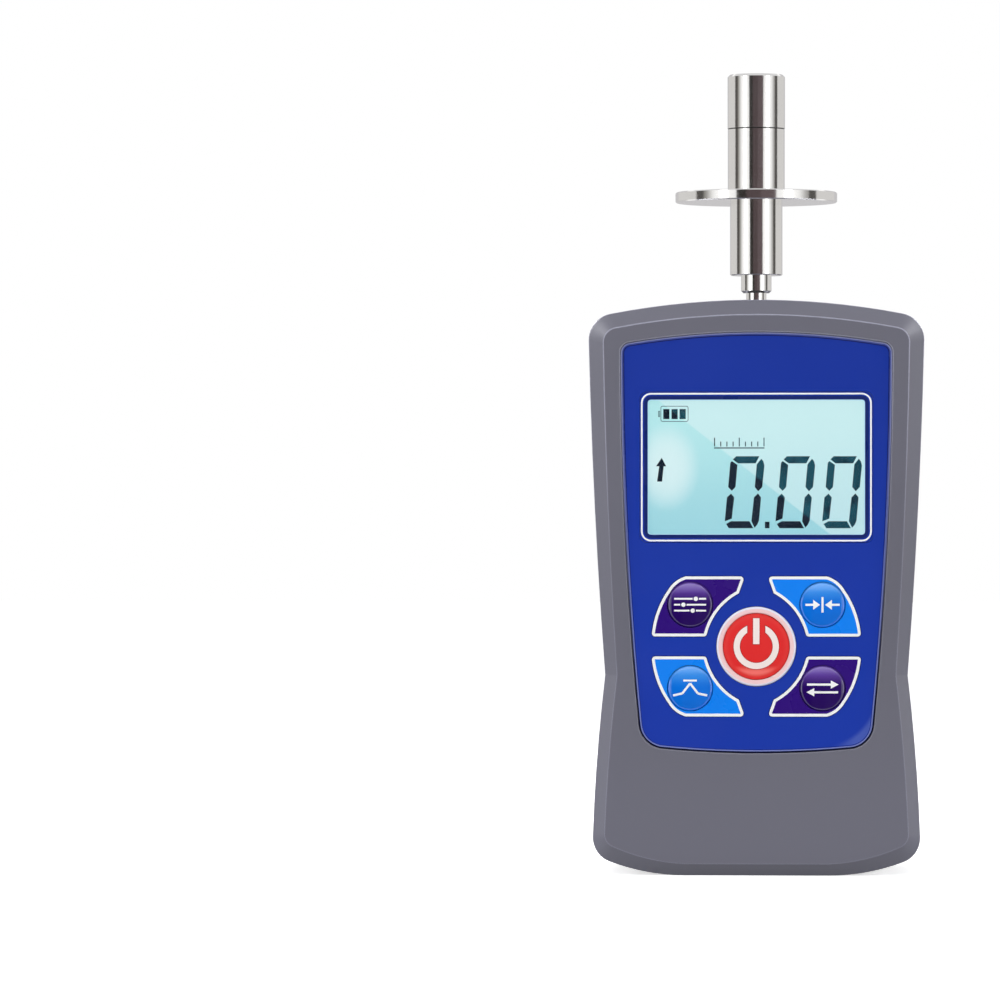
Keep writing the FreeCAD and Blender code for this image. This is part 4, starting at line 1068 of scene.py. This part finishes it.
@dataclass(frozen=True)
class PlateEdge(Piece):
    """Painted shade of the seat and a painted lit line along the faceplate's edge, as flat bands.

    Attributes:
        bands: Widths of the lines in millimetres, outside first.
    """

    bands: tuple[float, ...] = (0.26, 0.24, 0.18)

    def outline(self) -> list[Point]:
        """Walks round the front of the CAD's faceplate.

        Returns:
            Its outer outline, from its left, in millimetres.
        """
        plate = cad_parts["faceplate"]
        mesh = bmesh.new()
        mesh.from_mesh(plate.data)
        bmesh.ops.transform(mesh, matrix=plate.matrix_world, verts=mesh.verts)
        bmesh.ops.remove_doubles(mesh, verts=mesh.verts, dist=MERGE_GAP * MM)
        mesh.normal_update()
        back = [f for f in mesh.faces if f.normal.y > -0.9
                or f.calc_center_median().y > (FACE_TOP + 0.05) * MM]
        bmesh.ops.delete(mesh, geom=back, context="FACES")
        walked = [min(mesh.verts, key=lambda vertex: vertex.co.x)]
        ahead = walked
        while ahead:
            ahead = [edge.other_vert(walked[-1]) for edge in walked[-1].link_edges
                     if edge.is_boundary and edge.other_vert(walked[-1]) not in walked]
            walked += ahead[:1]
        points = [(vertex.co.x / MM, vertex.co.z / MM) for vertex in walked]
        mesh.free()
        return points

    def build(self) -> None:
        """Insets the outline band by band and leaves its middle open."""
        first, *others = self.outline()
        mesh = bmesh.new()
        Pen(first, mesh).line(*others).close().face()
        rings(mesh, self.bands)
        self.finish("plate_edge", mesh, (PAINTED_SEAT_LIGHT_AND_SHADE, PAINTED_EDGE_LIGHT, PAINTED_EDGE_SHADE),
                    y=FACE_TOP - PRINT_STEP)


@dataclass(frozen=True)
class WindowPrint(Piece):
    """Outline printed round the display on the window, on a blue border up to its edge.

    Attributes:
        border: Half width, half height and rounding of the border, in millimetres.
        border_width: The border's own width.
        printed: Half width, half height and rounding of the outline.
        bands: Widths of the outline's lines, outside first.
    """

    border: tuple[float, float, float] = (22.52, 14.55, 1.38)
    border_width: float = 0.5
    printed: tuple[float, float, float] = (22.35, 14.4, 1.9)
    bands: tuple[float, ...] = (0.32, 0.28, 0.7, 0.14)

    def frame(self, mesh: Mesh, width: float, height: float, corner: float) -> None:
        """Draws a rounded rectangle round the display by its half sizes and rounding."""
        rounded(mesh, (-width, DISPLAY_HEIGHT - height), (width, DISPLAY_HEIGHT + height), corner)

    def build(self) -> None:
        """Insets rounded rectangles band by band and leaves their middles open."""
        mesh = bmesh.new()
        self.frame(mesh, *self.border)
        rings(mesh, (self.border_width,))
        self.finish("window_border", mesh, (BLUE,), y=FACE_TOP - PRINT_STEP)
        mesh = bmesh.new()
        self.frame(mesh, *self.printed)
        rings(mesh, self.bands)
        self.finish("window_print", mesh, (WHITE_INK, BLUE, NAVY_INK, PALE_INK),
                    y=FACE_TOP - 2 * PRINT_STEP)


@dataclass(frozen=True)
class KeyFields(Piece):
    """The four printed fields that the small keys stand in.

    Attributes:
        halo: Width of the dark line outside the white one, in millimetres.
        outline: Width of the white line.
        corner: Rounding of the sharp corners.
        hole: Radius of the hole round the keycap.
    """

    halo: float = 0.16
    outline: float = 0.55
    corner: float = 0.76
    hole: float = 4.5

    def build(self) -> None:
        """Draws the upper left field, with its key's hole, once for each key."""
        for name, (x, z) in KEY_PLACES.items():
            mesh = bmesh.new()
            pen = Pen((-15.0, 1.78), mesh).corner((-20.46, 1.78), (-20.2, 4.2), self.corner)
            pen.arc((-19.55, 6.37), (-17.24, 11.0)).arc((-15.57, 12.85), (-13.7, 13.74), 8)
            pen.corner((-2.0, 13.74), (-3.26, 10.2), self.corner)
            pen.line((-3.26, 10.2)).arc((-7.7, 6.25), (-9.35, 2.7), 12)
            pen.corner((-9.61, 1.78), (-15.0, 1.78), self.corner).close().face()
            middle = band(mesh, (self.halo, self.outline))
            rim = middle[0].edges[:]
            bmesh.ops.delete(mesh, geom=middle, context="FACES_ONLY")
            disc(mesh, (-abs(x), abs(z - POWER_HEIGHT)), self.hole, filled=False)
            hole = [edge for edge in mesh.edges if edge.is_wire and edge not in rim]
            filled = bmesh.ops.triangle_fill(mesh, use_beauty=True, edges=rim + hole,
                                             normal=(0, -1, 0))
            for made in filled["geom"]:
                if isinstance(made, bmesh.types.BMFace):
                    made.material_index = 2
            flip = (-math.copysign(1, x), 1, math.copysign(1, z - POWER_HEIGHT))
            bmesh.ops.scale(mesh, verts=mesh.verts, vec=flip)
            bmesh.ops.translate(mesh, verts=mesh.verts, vec=lift((0, POWER_HEIGHT)))
            face_front(mesh)
            ink = PURPLE_INK if name in ("set", "unit") else SKY_INK
            self.finish(name + "_field", mesh, (NAVY_INK, WHITE_INK, ink),
                        y=FACE_TOP - 2 * PRINT_STEP)


@dataclass(frozen=True)
class KeyCap(Piece):
    """A glossy domed keycap with its stem, flange and rim, and the figure on its dome.

    Attributes:
        name: The key's name.
        centre: Its middle on the front.
        cap_finish: The cap's finish.
        figure_finishes: The figure's finishes, its edge's first if it has two.
        figure: The function that draws the figure.
        radius: The dome's radius; all sizes are in millimetres.
        apex: The dome's foremost y.
        edge: Where the dome meets its rim, as y.
        flange: The flange's radius.
        flange_front: Its front, as y.
        flange_back: Its back, as y.
        stem: The stem's radius.
        stem_end: Its end, as y.
    """

    name: str = "set"
    centre: Point = (0.0, 0.0)
    cap_finish: Finish = PURPLE_KEY
    figure_finishes: tuple[Finish, ...] = (WHITE_INK,)
    figure: Callable[[Mesh], None] | None = None
    radius: float = 4.4
    apex: float = -17.985
    edge: float = -17.42
    flange: float = 5.2
    flange_front: float = -15.15
    flange_back: float = -14.25
    stem: float = 1.6
    stem_end: float = -13.2

    @property
    def ball(self) -> float:
        """Radius of the dome's sphere."""
        sag = self.edge - self.apex
        return (self.radius ** 2 + sag ** 2) / (2 * sag)

    def build(self) -> None:
        """Spins the cap's section about its middle and drapes the figure on it."""
        mesh = bmesh.new()
        half = self.radius / 2
        drop = self.apex + self.ball
        middle = drop - math.sqrt(self.ball ** 2 - half ** 2)
        pen = Pen((0, self.apex), mesh, Plane.SECTION)
        pen.arc((half, middle), (self.radius - 0.22, self.edge - 0.02), 16)
        pen.line((self.radius - 0.16, self.edge + 0.03), (self.radius - 0.1, self.edge - 0.06))
        pen.line((self.radius - 0.03, self.edge - 0.05), (self.radius, self.edge + 0.03))
        pen.line((self.radius, self.flange_front), (self.flange, self.flange_front),
                 (self.flange, self.flange_back), (self.stem, self.flange_back),
                 (self.stem, self.stem_end), (0, self.stem_end))
        bmesh.ops.spin(mesh, geom=mesh.verts[:] + mesh.edges[:], cent=(0, 0, 0),
                       axis=(0, 1, 0), angle=math.tau, steps=64)
        bmesh.ops.remove_doubles(mesh, verts=mesh.verts, dist=2 * MERGE_GAP * MM)
        bmesh.ops.recalc_face_normals(mesh, faces=mesh.faces)
        bmesh.ops.translate(mesh, verts=mesh.verts, vec=lift(self.centre))
        cap = self.finish(self.name + "_cap", mesh, (self.cap_finish,), smooth=True)
        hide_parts(self.name + "_key")
        self.label()

    def label(self) -> None:
        """Draws the figure and drapes it on the dome."""
        mesh = bmesh.new()
        self.figure(mesh)
        bmesh.ops.triangulate(mesh, faces=mesh.faces)
        bmesh.ops.subdivide_edges(mesh, edges=[e for e in mesh.edges if e.calc_length() > 0.8 * MM],
                                  cuts=4, use_grid_fill=True)
        for vertex in mesh.verts:
            across = math.hypot(vertex.co.x, vertex.co.z) / MM
            vertex.co.y = (self.ball - math.sqrt(self.ball ** 2 - across ** 2)) * MM
        bmesh.ops.translate(mesh, verts=mesh.verts, vec=lift(self.centre))
        self.finish(self.name + "_figure", mesh, self.figure_finishes, y=self.apex - FILM_STEP)


def stroke(mesh: Mesh, start: Point, end: Point, width: float) -> None:
    """Draws a straight line.

    Args:
        mesh: Mesh to draw in.
        start: Where it starts, in millimetres.
        end: Where it ends.
        width: Its width.
    """
    along = (Vector(end) - Vector(start)).normalized() * width / 2
    side = Vector((-along.y, along.x))
    first, last = Vector(start), Vector(end)
    Pen(first + side, mesh).line(first - side, last - side, last + side).close().face()


def triangle(mesh: Mesh, tip: Point, back: Point, half: float) -> None:
    """Draws an arrow head.

    Args:
        mesh: Mesh to draw in.
        tip: Its tip in millimetres.
        back: Middle of its back edge.
        half: Half that edge's length.
    """
    side = (Vector(tip) - Vector(back)).normalized() * half
    spread = Vector((-side.y, side.x))
    Pen(tip, mesh).line(Vector(back) + spread, Vector(back) - spread).close().face()


def sliders(mesh: Mesh) -> None:
    """Three sliders: settings.

    Args:
        mesh: Mesh to draw in.
    """
    for height, knob in ((1.15, 1.1), (0.0, -1.3), (-1.15, 0.5)):
        stroke(mesh, (-3.1, height), (knob - 0.62, height), 0.34)
        stroke(mesh, (knob + 0.62, height), (3.1, height), 0.34)
        disc(mesh, (knob, height), 0.42)


def to_zero(mesh: Mesh) -> None:
    """Two arrows that meet at a line: back to zero.

    Args:
        mesh: Mesh to draw in.
    """
    stroke(mesh, (0, -1.5), (0, 1.5), 0.4)
    for side in (-1, 1):
        stroke(mesh, (side * 3.3, 0), (side * 1.7, 0), 0.42)
        triangle(mesh, (side * 0.5, 0), (side * 1.8, 0), 0.95)


def crest(mesh: Mesh) -> None:
    """A line that rises to a crest under a bar: highest value.

    Args:
        mesh: Mesh to draw in.
    """
    stroke(mesh, (-1.3, 1.5), (1.3, 1.5), 0.36)
    path = ((-3.3, -1.4), (-1.5, -1.0), (0, 0.95), (1.5, -1.0), (3.3, -1.4))
    for start, end in zip(path, path[1:]):
        stroke(mesh, start, end, 0.42)


def exchange(mesh: Mesh) -> None:
    """Two arrows that pass each other: next unit.

    Args:
        mesh: Mesh to draw in.
    """
    for side in (-1, 1):
        stroke(mesh, (side * -3.0, side * 0.75), (side * 1.6, side * 0.75), 0.42)
        triangle(mesh, (side * 3.1, side * 0.75), (side * 1.6, side * 0.75), 0.8)


def standby(mesh: Mesh) -> None:
    """The usual standby sign: an open ring and a bar, each with a thin dark edge.

    Args:
        mesh: Mesh to draw in.
    """
    pen = Pen((1.64, 4.2), mesh).arc((0, -4.5), (-1.64, 4.2), 40)
    pen.line((-1.64, 2.6)).arc((0, -3.06), (1.64, 2.6), 40).close().face()
    bar(mesh, (-0.73, 0.35), (0.73, 5.6))
    band(mesh, (0.12,))


@dataclass(frozen=True)
class PowerCap(KeyCap):
    """The power key: a round flat cap with a bevelled edge and the standby sign."""

    name: str = "power"
    centre: Point = (0.0, POWER_HEIGHT)
    cap_finish: Finish = RED_KEY
    figure_finishes: tuple[Finish, ...] = (DEEP_RED_INK, ROSE_INK)
    figure: Callable[[Mesh], None] = standby
    radius: float = 6.4
    flange: float = 7.4
    apex: float = -17.9
    edge: float = -17.72


@dataclass(frozen=True)
class Screen(Piece):
    """What the liquid-crystal panel shows.

    Attributes:
        digit_starts: Left sides of the digits' cells in millimetres.
        digit_base: The digits' foot.
        slant: How far a digit leans over its height.
        halo: Width of a segment's pale edge.
        battery_line: Width of the battery sign's line.
        segments: The six segments of a nought in its own upright cell.
    """

    digit_starts: tuple[float, ...] = (-6.28, 3.56, 12.63)
    digit_base: float = 67.42
    slant: float = 0.098
    halo: float = 0.13
    battery_line: float = 0.11

    segments: tuple[tuple[Point, ...], ...] = (
        ((1.02, 13.98), (0.43, 13.35), (1.5, 12.6), (4.92, 12.6), (5.5, 13.98)),
        ((5.94, 13.5), (5.16, 12.4), (5.2, 8.0), (5.95, 7.17), (6.66, 8.0), (6.66, 12.2),
         (6.4, 12.95)),
        ((0.26, 13.05), (0.0, 12.7), (0.04, 8.0), (0.82, 7.26), (1.46, 8.0), (1.42, 12.3)),
        ((0.72, 6.72), (0.0, 5.98), (0.03, 1.34), (1.34, 1.86), (1.42, 5.98)),
        ((5.94, 6.76), (5.24, 5.98), (5.2, 1.35), (5.94, 0.1), (6.4, 0.7), (6.66, 1.5),
         (6.62, 5.98)),
        ((0.95, 0.0), (0.34, 0.82), (1.24, 1.36), (4.82, 1.36), (5.72, 0.0)))

    def build(self) -> None:
        """Draws the digits, the point, the arrow, the battery sign and the scale."""
        mesh = bmesh.new()
        for start in self.digit_starts:
            for outline in self.segments:
                first, *others = ((start + x + self.slant * z, self.digit_base + z)
                                  for x, z in outline)
                Pen(first, mesh).line(*others).close().face()
        bar(mesh, (1.67, self.digit_base), (2.57, self.digit_base + 1.26))
        pen = Pen((-18.37, 81.1), mesh).line((-19.48, 79.45), (-18.85, 79.45), (-19.27, 76.48))
        pen.line((-18.3, 76.48), (-17.98, 79.45), (-17.5, 79.45)).close().face()
        for left in (-18.07, -16.46, -14.9):
            bar(mesh, (left, 88.63), (left + 1.2, 90.58))
        bar(mesh, (-8.2, 82.9), (1.6, 83.12))
        for step in range(9):
            rise = 1.7 if step % 4 == 0 else 0.95
            left = -8.2 + 1.2 * step
            bar(mesh, (left, 83.3), (left + 0.2, 83.3 + rise))
        halo = mesh.copy()
        bmesh.ops.inset_region(halo, faces=halo.faces, thickness=self.halo * MM,
                               use_outset=True, use_even_offset=True, use_boundary=True)
        self.finish("screen_halo", halo, (HALO,), y=LCD_FRONT - FILM_STEP)
        self.finish("screen_figures", mesh, (SEGMENT,), y=LCD_FRONT - 2 * PRINT_STEP)
        self.battery_outline()

    def battery_outline(self) -> None:
        """Draws the battery sign's thin frame and its nub."""
        mesh = bmesh.new()
        rounded(mesh, (-18.58, 88.12), (-13.18, 91.18), 0.4)
        bar(mesh, (-19.03, 89.05), (-18.7, 90.2))
        rings(mesh, (self.battery_line,))
        self.finish("screen_battery", mesh, (SEGMENT,), y=LCD_FRONT - 2 * PRINT_STEP)


@dataclass(frozen=True)
class ContactSprings(Piece):
    """The four coil springs behind the battery cells, smooth where the CAD's are coarse.

    Attributes:
        wire: The wire's radius; all sizes are in millimetres.
        radius: The coil's radius.
        turns: How often it winds.
        rise: Its height.
        pitch: Distance between cells.
        depth: The cells' y.
        bases: Heights of the springs' feet, for even and odd cells.
    """

    wire: float = 0.25
    radius: float = 2.85
    turns: float = 2.5
    rise: float = 1.95
    pitch: float = 10.9
    depth: float = 10.3
    bases: tuple[float, float] = (5.325, 49.825)

    def build(self) -> None:
        """Spins a round section up a helix for each cell."""
        whole = bmesh.new()
        steps = int(self.turns * 28)
        for index in range(4):
            place = Vector((self.pitch * (index - 1.5), self.depth, self.bases[index % 2])) * MM
            section = Matrix.Translation(place + Vector((self.radius * MM, 0, 0)))
            made = bmesh.ops.create_circle(whole, segments=10, radius=self.wire * MM,
                                           matrix=section @ UPRIGHT)
            ring = {edge for vertex in made["verts"] for edge in vertex.link_edges}
            bmesh.ops.spin(whole, geom=list(made["verts"]) + list(ring), cent=place,
                           axis=(0, 0, 1), angle=math.tau * self.turns, steps=steps,
                           dvec=(0, 0, self.rise * MM / steps))
        bmesh.ops.holes_fill(whole, edges=[edge for edge in whole.edges if edge.is_boundary])
        bmesh.ops.recalc_face_normals(whole, faces=whole.faces)
        springs = self.finish("contact_springs", whole, (SPRING,), smooth=True)
        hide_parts("battery_springs")


@dataclass(frozen=True)
class Card:
    """A flat studio card that shows in the object's reflections only.

    Attributes:
        name: The card's name.
        azimuth: Where its middle stands, 0 in front and 90 at the left, in degrees.
        spread: Its width as an angle, in degrees.
        low: Its lower edge in metres.
        high: Its upper edge in metres.
        tone: Its colour and brightness.
        fade: Height in metres over which it brightens from its lower edge, or 0.
        far_tone: Its tone at the edge farther from the front, if it changes across.
        lies: Whether it lies overhead, at its upper edge's height, as a square.
        reach: Its distance in metres.
    """

    name: str
    azimuth: float
    spread: float
    low: float
    high: float
    tone: Colour
    fade: float = 0.0
    far_tone: Colour | None = None
    lies: bool = False
    reach: float = 0.8

    def material(self) -> bpy.types.Material:
        """Makes a material that shines in the card's tone.

        Returns:
            The material.
        """
        made = bpy.data.materials.new(self.name)
        canvas = Tree.of(made)
        light = canvas.add("ShaderNodeEmission", {"Color": self.tone, "Strength": 1.0})
        if self.fade:
            risen = canvas.ramp(canvas.height(), self.low, self.low + self.fade)
            canvas.feed(light, {"Strength": risen})
        if self.far_tone:
            axes = canvas.axes(canvas.place())
            angle = canvas.math("ARCTAN2", canvas.math("ABSOLUTE", axes["X"]),
                                canvas.math("MULTIPLY", axes["Y"], -1.0))
            near, far = (math.radians(abs(self.azimuth) + side * self.spread / 2)
                         for side in (-1, 1))
            across = canvas.mix(canvas.ramp(angle, near, far), self.tone, self.far_tone)
            canvas.feed(light, {"Color": across})
        canvas.add("ShaderNodeOutputMaterial", {"Surface": light.outputs[0]})
        return made

    def build(self) -> None:
        """Makes the card's plane and stages it."""
        half = math.tan(math.radians(self.spread / 2)) * self.reach
        turn = Matrix.Rotation(math.radians(-self.azimuth), 4, "Z")
        middle = Matrix.Translation((0, -self.reach, (self.low + self.high) / 2))
        shape = Matrix.Diagonal((half * 2, self.high - self.low, 1, 1))
        place = turn @ middle @ UPRIGHT @ shape
        if self.lies:
            place = Matrix.Translation((0, 0, self.high)) @ Matrix.Scale(2 * self.reach, 4)
        mesh = bmesh.new()
        bmesh.ops.create_grid(mesh, x_segments=1, y_segments=1, size=0.5, matrix=place)
        made = settle(self.name, mesh, (self.material(),))
        for ray in ("camera", "diffuse", "transmission", "volume_scatter", "shadow"):
            setattr(made, "visible_" + ray, False)


def grey(level: float) -> Colour:
    """Returns a neutral tone."""
    return (level, level, level, 1.0)


def pair(name: str, azimuth: float, spread: float, low: float, high: float,
         tone: Colour) -> tuple[Card, ...]:
    """Returns a card at the left and its mirror image at the right, sized as in Card."""
    return tuple(Card(name + side, sign * azimuth, spread, low, high, tone)
                 for side, sign in (("_left", 1), ("_right", -1)))


@dataclass(frozen=True)
class Lamp:
    """A soft square lamp that shows in no reflection.

    Attributes:
        name: The lamp's name.
        place: Its place in metres.
        side: Its side in metres.
        power: Its power in watts.
    """

    name: str
    place: tuple[float, float, float]
    side: float
    power: float

    def build(self, target: Vector) -> None:
        """Makes the lamp.

        Args:
            target: The point that it shines at, in metres.
        """
        light = bpy.data.lights.new(self.name, "AREA")
        light.shape = "SQUARE"
        light.size = self.side
        light.energy = self.power
        made = stand(self.name, light)
        made.location = self.place
        made.rotation_euler = (target - Vector(self.place)).to_track_quat("-Z", "Y").to_euler()
        made.visible_glossy = False
        made.visible_camera = False


@dataclass(frozen=True)
class Studio:
    """The pale studio: surround, floor, lamps, reflection cards and camera.

    Attributes:
        middle: Where the lamps point, in metres.
        surround: Strength of the surround as a light.
        glow: How much the floor shines by itself for the camera.
        lens: Focal length in millimetres.
        distance: The camera's distance in metres.
        eye: Its height in metres.
        turn: Its turn to the left in degrees.
        lamps: The lamps.
        cards: The cards that the object reflects.
    """

    middle: tuple[float, float, float] = (0.0, 0.0, 0.08)
    surround: float = 0.5
    glow: float = 0.62
    lens: float = 208.8
    distance: float = 1.143
    eye: float = 0.0729
    turn: float = 2.53
    lamps: tuple[Lamp, ...] = (
        Lamp("lamp_front", (-0.3, -1.2, 0.5), 0.6, 7.6),
        Lamp("lamp_left", (-0.9, -0.05, 0.35), 0.5, 4.2),
        Lamp("lamp_right", (0.9, -0.05, 0.3), 0.5, 4.8),
        Lamp("lamp_top", (0.0, -0.08, 1.0), 0.5, 0.8),
    )
    cards: tuple[Card, ...] = (
        Card("card_shade_left", 21.0, 14.0, -0.6, 0.234, (0.03, 0.026, 0.024, 1)),
        Card("card_shade_middle", 4.0, 20.0, -0.6, 0.234, (0.085, 0.062, 0.064, 1)),
        Card("card_shade_right", -17.0, 22.0, -0.6, 0.234, (0.12, 0.09, 0.095, 1)),
        Card("card_soft", 0.0, 64.0, 0.232, 0.8, (2.2, 2.2, 2.4, 1), fade=0.32),
        *pair("card_glint", 47.0, 12.0, -0.1, 0.25, grey(2.5)),
        *pair("card_high", 45.0, 26.0, 0.25, 0.9, (0.66, 0.66, 0.67, 1)),
        Card("card_above", 0.0, 90.0, 0.0, 0.95, (0.7, 0.7, 0.71, 1), lies=True),
        Card("card_dim_left", 69.0, 22.0, -0.4, 0.7, grey(1.0), far_tone=(0.25, 0.24, 0.22, 1)),
        Card("card_dim_right", -69.0, 22.0, -0.4, 0.7, grey(1.0), far_tone=(0.35, 0.34, 0.33, 1)),
        *pair("card_line", 87.0, 14.0, -0.4, 0.48, (0.08, 0.075, 0.07, 1)),
        *pair("card_corner", 104.0, 36.0, 0.5, 0.94, (42.0, 42.0, 43.4, 1)),
        *pair("card_side", 120.0, 52.0, -0.4, 0.48, (0.66, 0.65, 0.64, 1)),
        Card("card_back", 180.0, 72.0, -0.4, 0.7, (0.58, 0.57, 0.58, 1)),
    )

    def build(self) -> None:
        """Builds every part of the studio."""
        self.surround_light()
        self.floor()
        for lamp in self.lamps:
            lamp.build(Vector(self.middle))
        for card in self.cards:
            card.build()
        self.camera()
        bpy.context.scene.view_settings.view_transform = "Standard"

    def surround_light(self) -> None:
        """White where the camera or a reflection sees it, softer as a light."""
        world = bpy.context.scene.world = bpy.data.worlds.new("surround")
        canvas = Tree.of(world)
        path = canvas.add("ShaderNodeLightPath").outputs
        seen = canvas.math("ADD", canvas.math("ADD", path["Is Camera Ray"], path["Is Glossy Ray"]),
                           path["Is Transmission Ray"])
        near = canvas.math("MINIMUM", seen, 1.0)
        strength = canvas.math("MULTIPLY_ADD", near, 1.0 - self.surround, self.surround)
        light = canvas.add("ShaderNodeBackground", {"Color": grey(1.0), "Strength": strength})
        canvas.add("ShaderNodeOutputWorld", {"Surface": light.outputs[0]})

    def floor(self) -> None:
        """A pale floor that takes the object's shadow."""
        material = bpy.data.materials.new("floor_white")
        canvas = Tree.of(material)
        grain = GRAIN.put(canvas, Vector=canvas.place(), Grain=2.0, Depth=0.02, Blotch=120.0)
        seen = canvas.add("ShaderNodeLightPath").outputs["Is Camera Ray"]
        pale = canvas.mix(grain["Tone"], grey(0.9), grey(0.92))
        matt = canvas.add("ShaderNodeBsdfDiffuse", {"Color": canvas.mix(seen, grey(0.35), pale)})
        glow = canvas.add("ShaderNodeEmission", {
            "Color": grey(1.0), "Strength": canvas.math("MULTIPLY", seen, self.glow)})
        both = canvas.add("ShaderNodeAddShader", {0: matt.outputs[0], 1: glow.outputs[0]})
        canvas.add("ShaderNodeOutputMaterial", {"Surface": both.outputs[0]})
        mesh = bmesh.new()
        bmesh.ops.create_grid(mesh, x_segments=1, y_segments=1, size=3.0)
        made = settle("floor", mesh, (material,))
        made.visible_glossy = False

    def camera(self) -> None:
        """A level long lens in front, turned so that the object stands right of the middle."""
        data = bpy.data.cameras.new("camera")
        data.sensor_width = 36.0
        data.lens = self.lens
        made = bpy.context.scene.camera = stand("camera", data)
        made.location = (0.0, -self.distance, self.eye)
        made.rotation_euler = (math.pi / 2, 0.0, math.radians(self.turn))


class Penetrometer:
    """The whole instrument: finishes on the CAD nodes and the pieces drawn here."""

    def __init__(self) -> None:
        """Chooses the sub-assemblies."""
        figures = {"set": sliders, "zero": to_zero, "peak": crest, "unit": exchange}
        caps = [KeyCap(body=name + "_key", name=name, centre=place, figure=figures[name],
                       cap_finish=replace(PURPLE_KEY if name in ("set", "unit") else SKY_KEY,
                                          heights=(place[1], place[1] + KEY_HIGHLIGHT_RISE)))
                for name, place in KEY_PLACES.items()]
        self.assemblies = [PlateEdge(), WindowPrint(), KeyFields(), Screen(), ContactSprings(),
                           PowerCap(body="power_key"), *caps]

    def build(self) -> None:
        """Paints the CAD nodes and builds every sub-assembly."""
        for finish, names in NODE_FINISHES.items():
            for name in names:
                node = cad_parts[name]
                node.data.materials.clear()
                node.data.materials.append(finish.material())
                LOG.info("node %s: %s", name, finish.name)
        for assembly in self.assemblies:
            assembly.build()


def main() -> None:
    """Builds the object and the studio round it."""
    logging.basicConfig(level=logging.INFO)
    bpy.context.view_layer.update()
    Penetrometer().build()
    Studio().build()


if __name__ == "__main__":
    main()
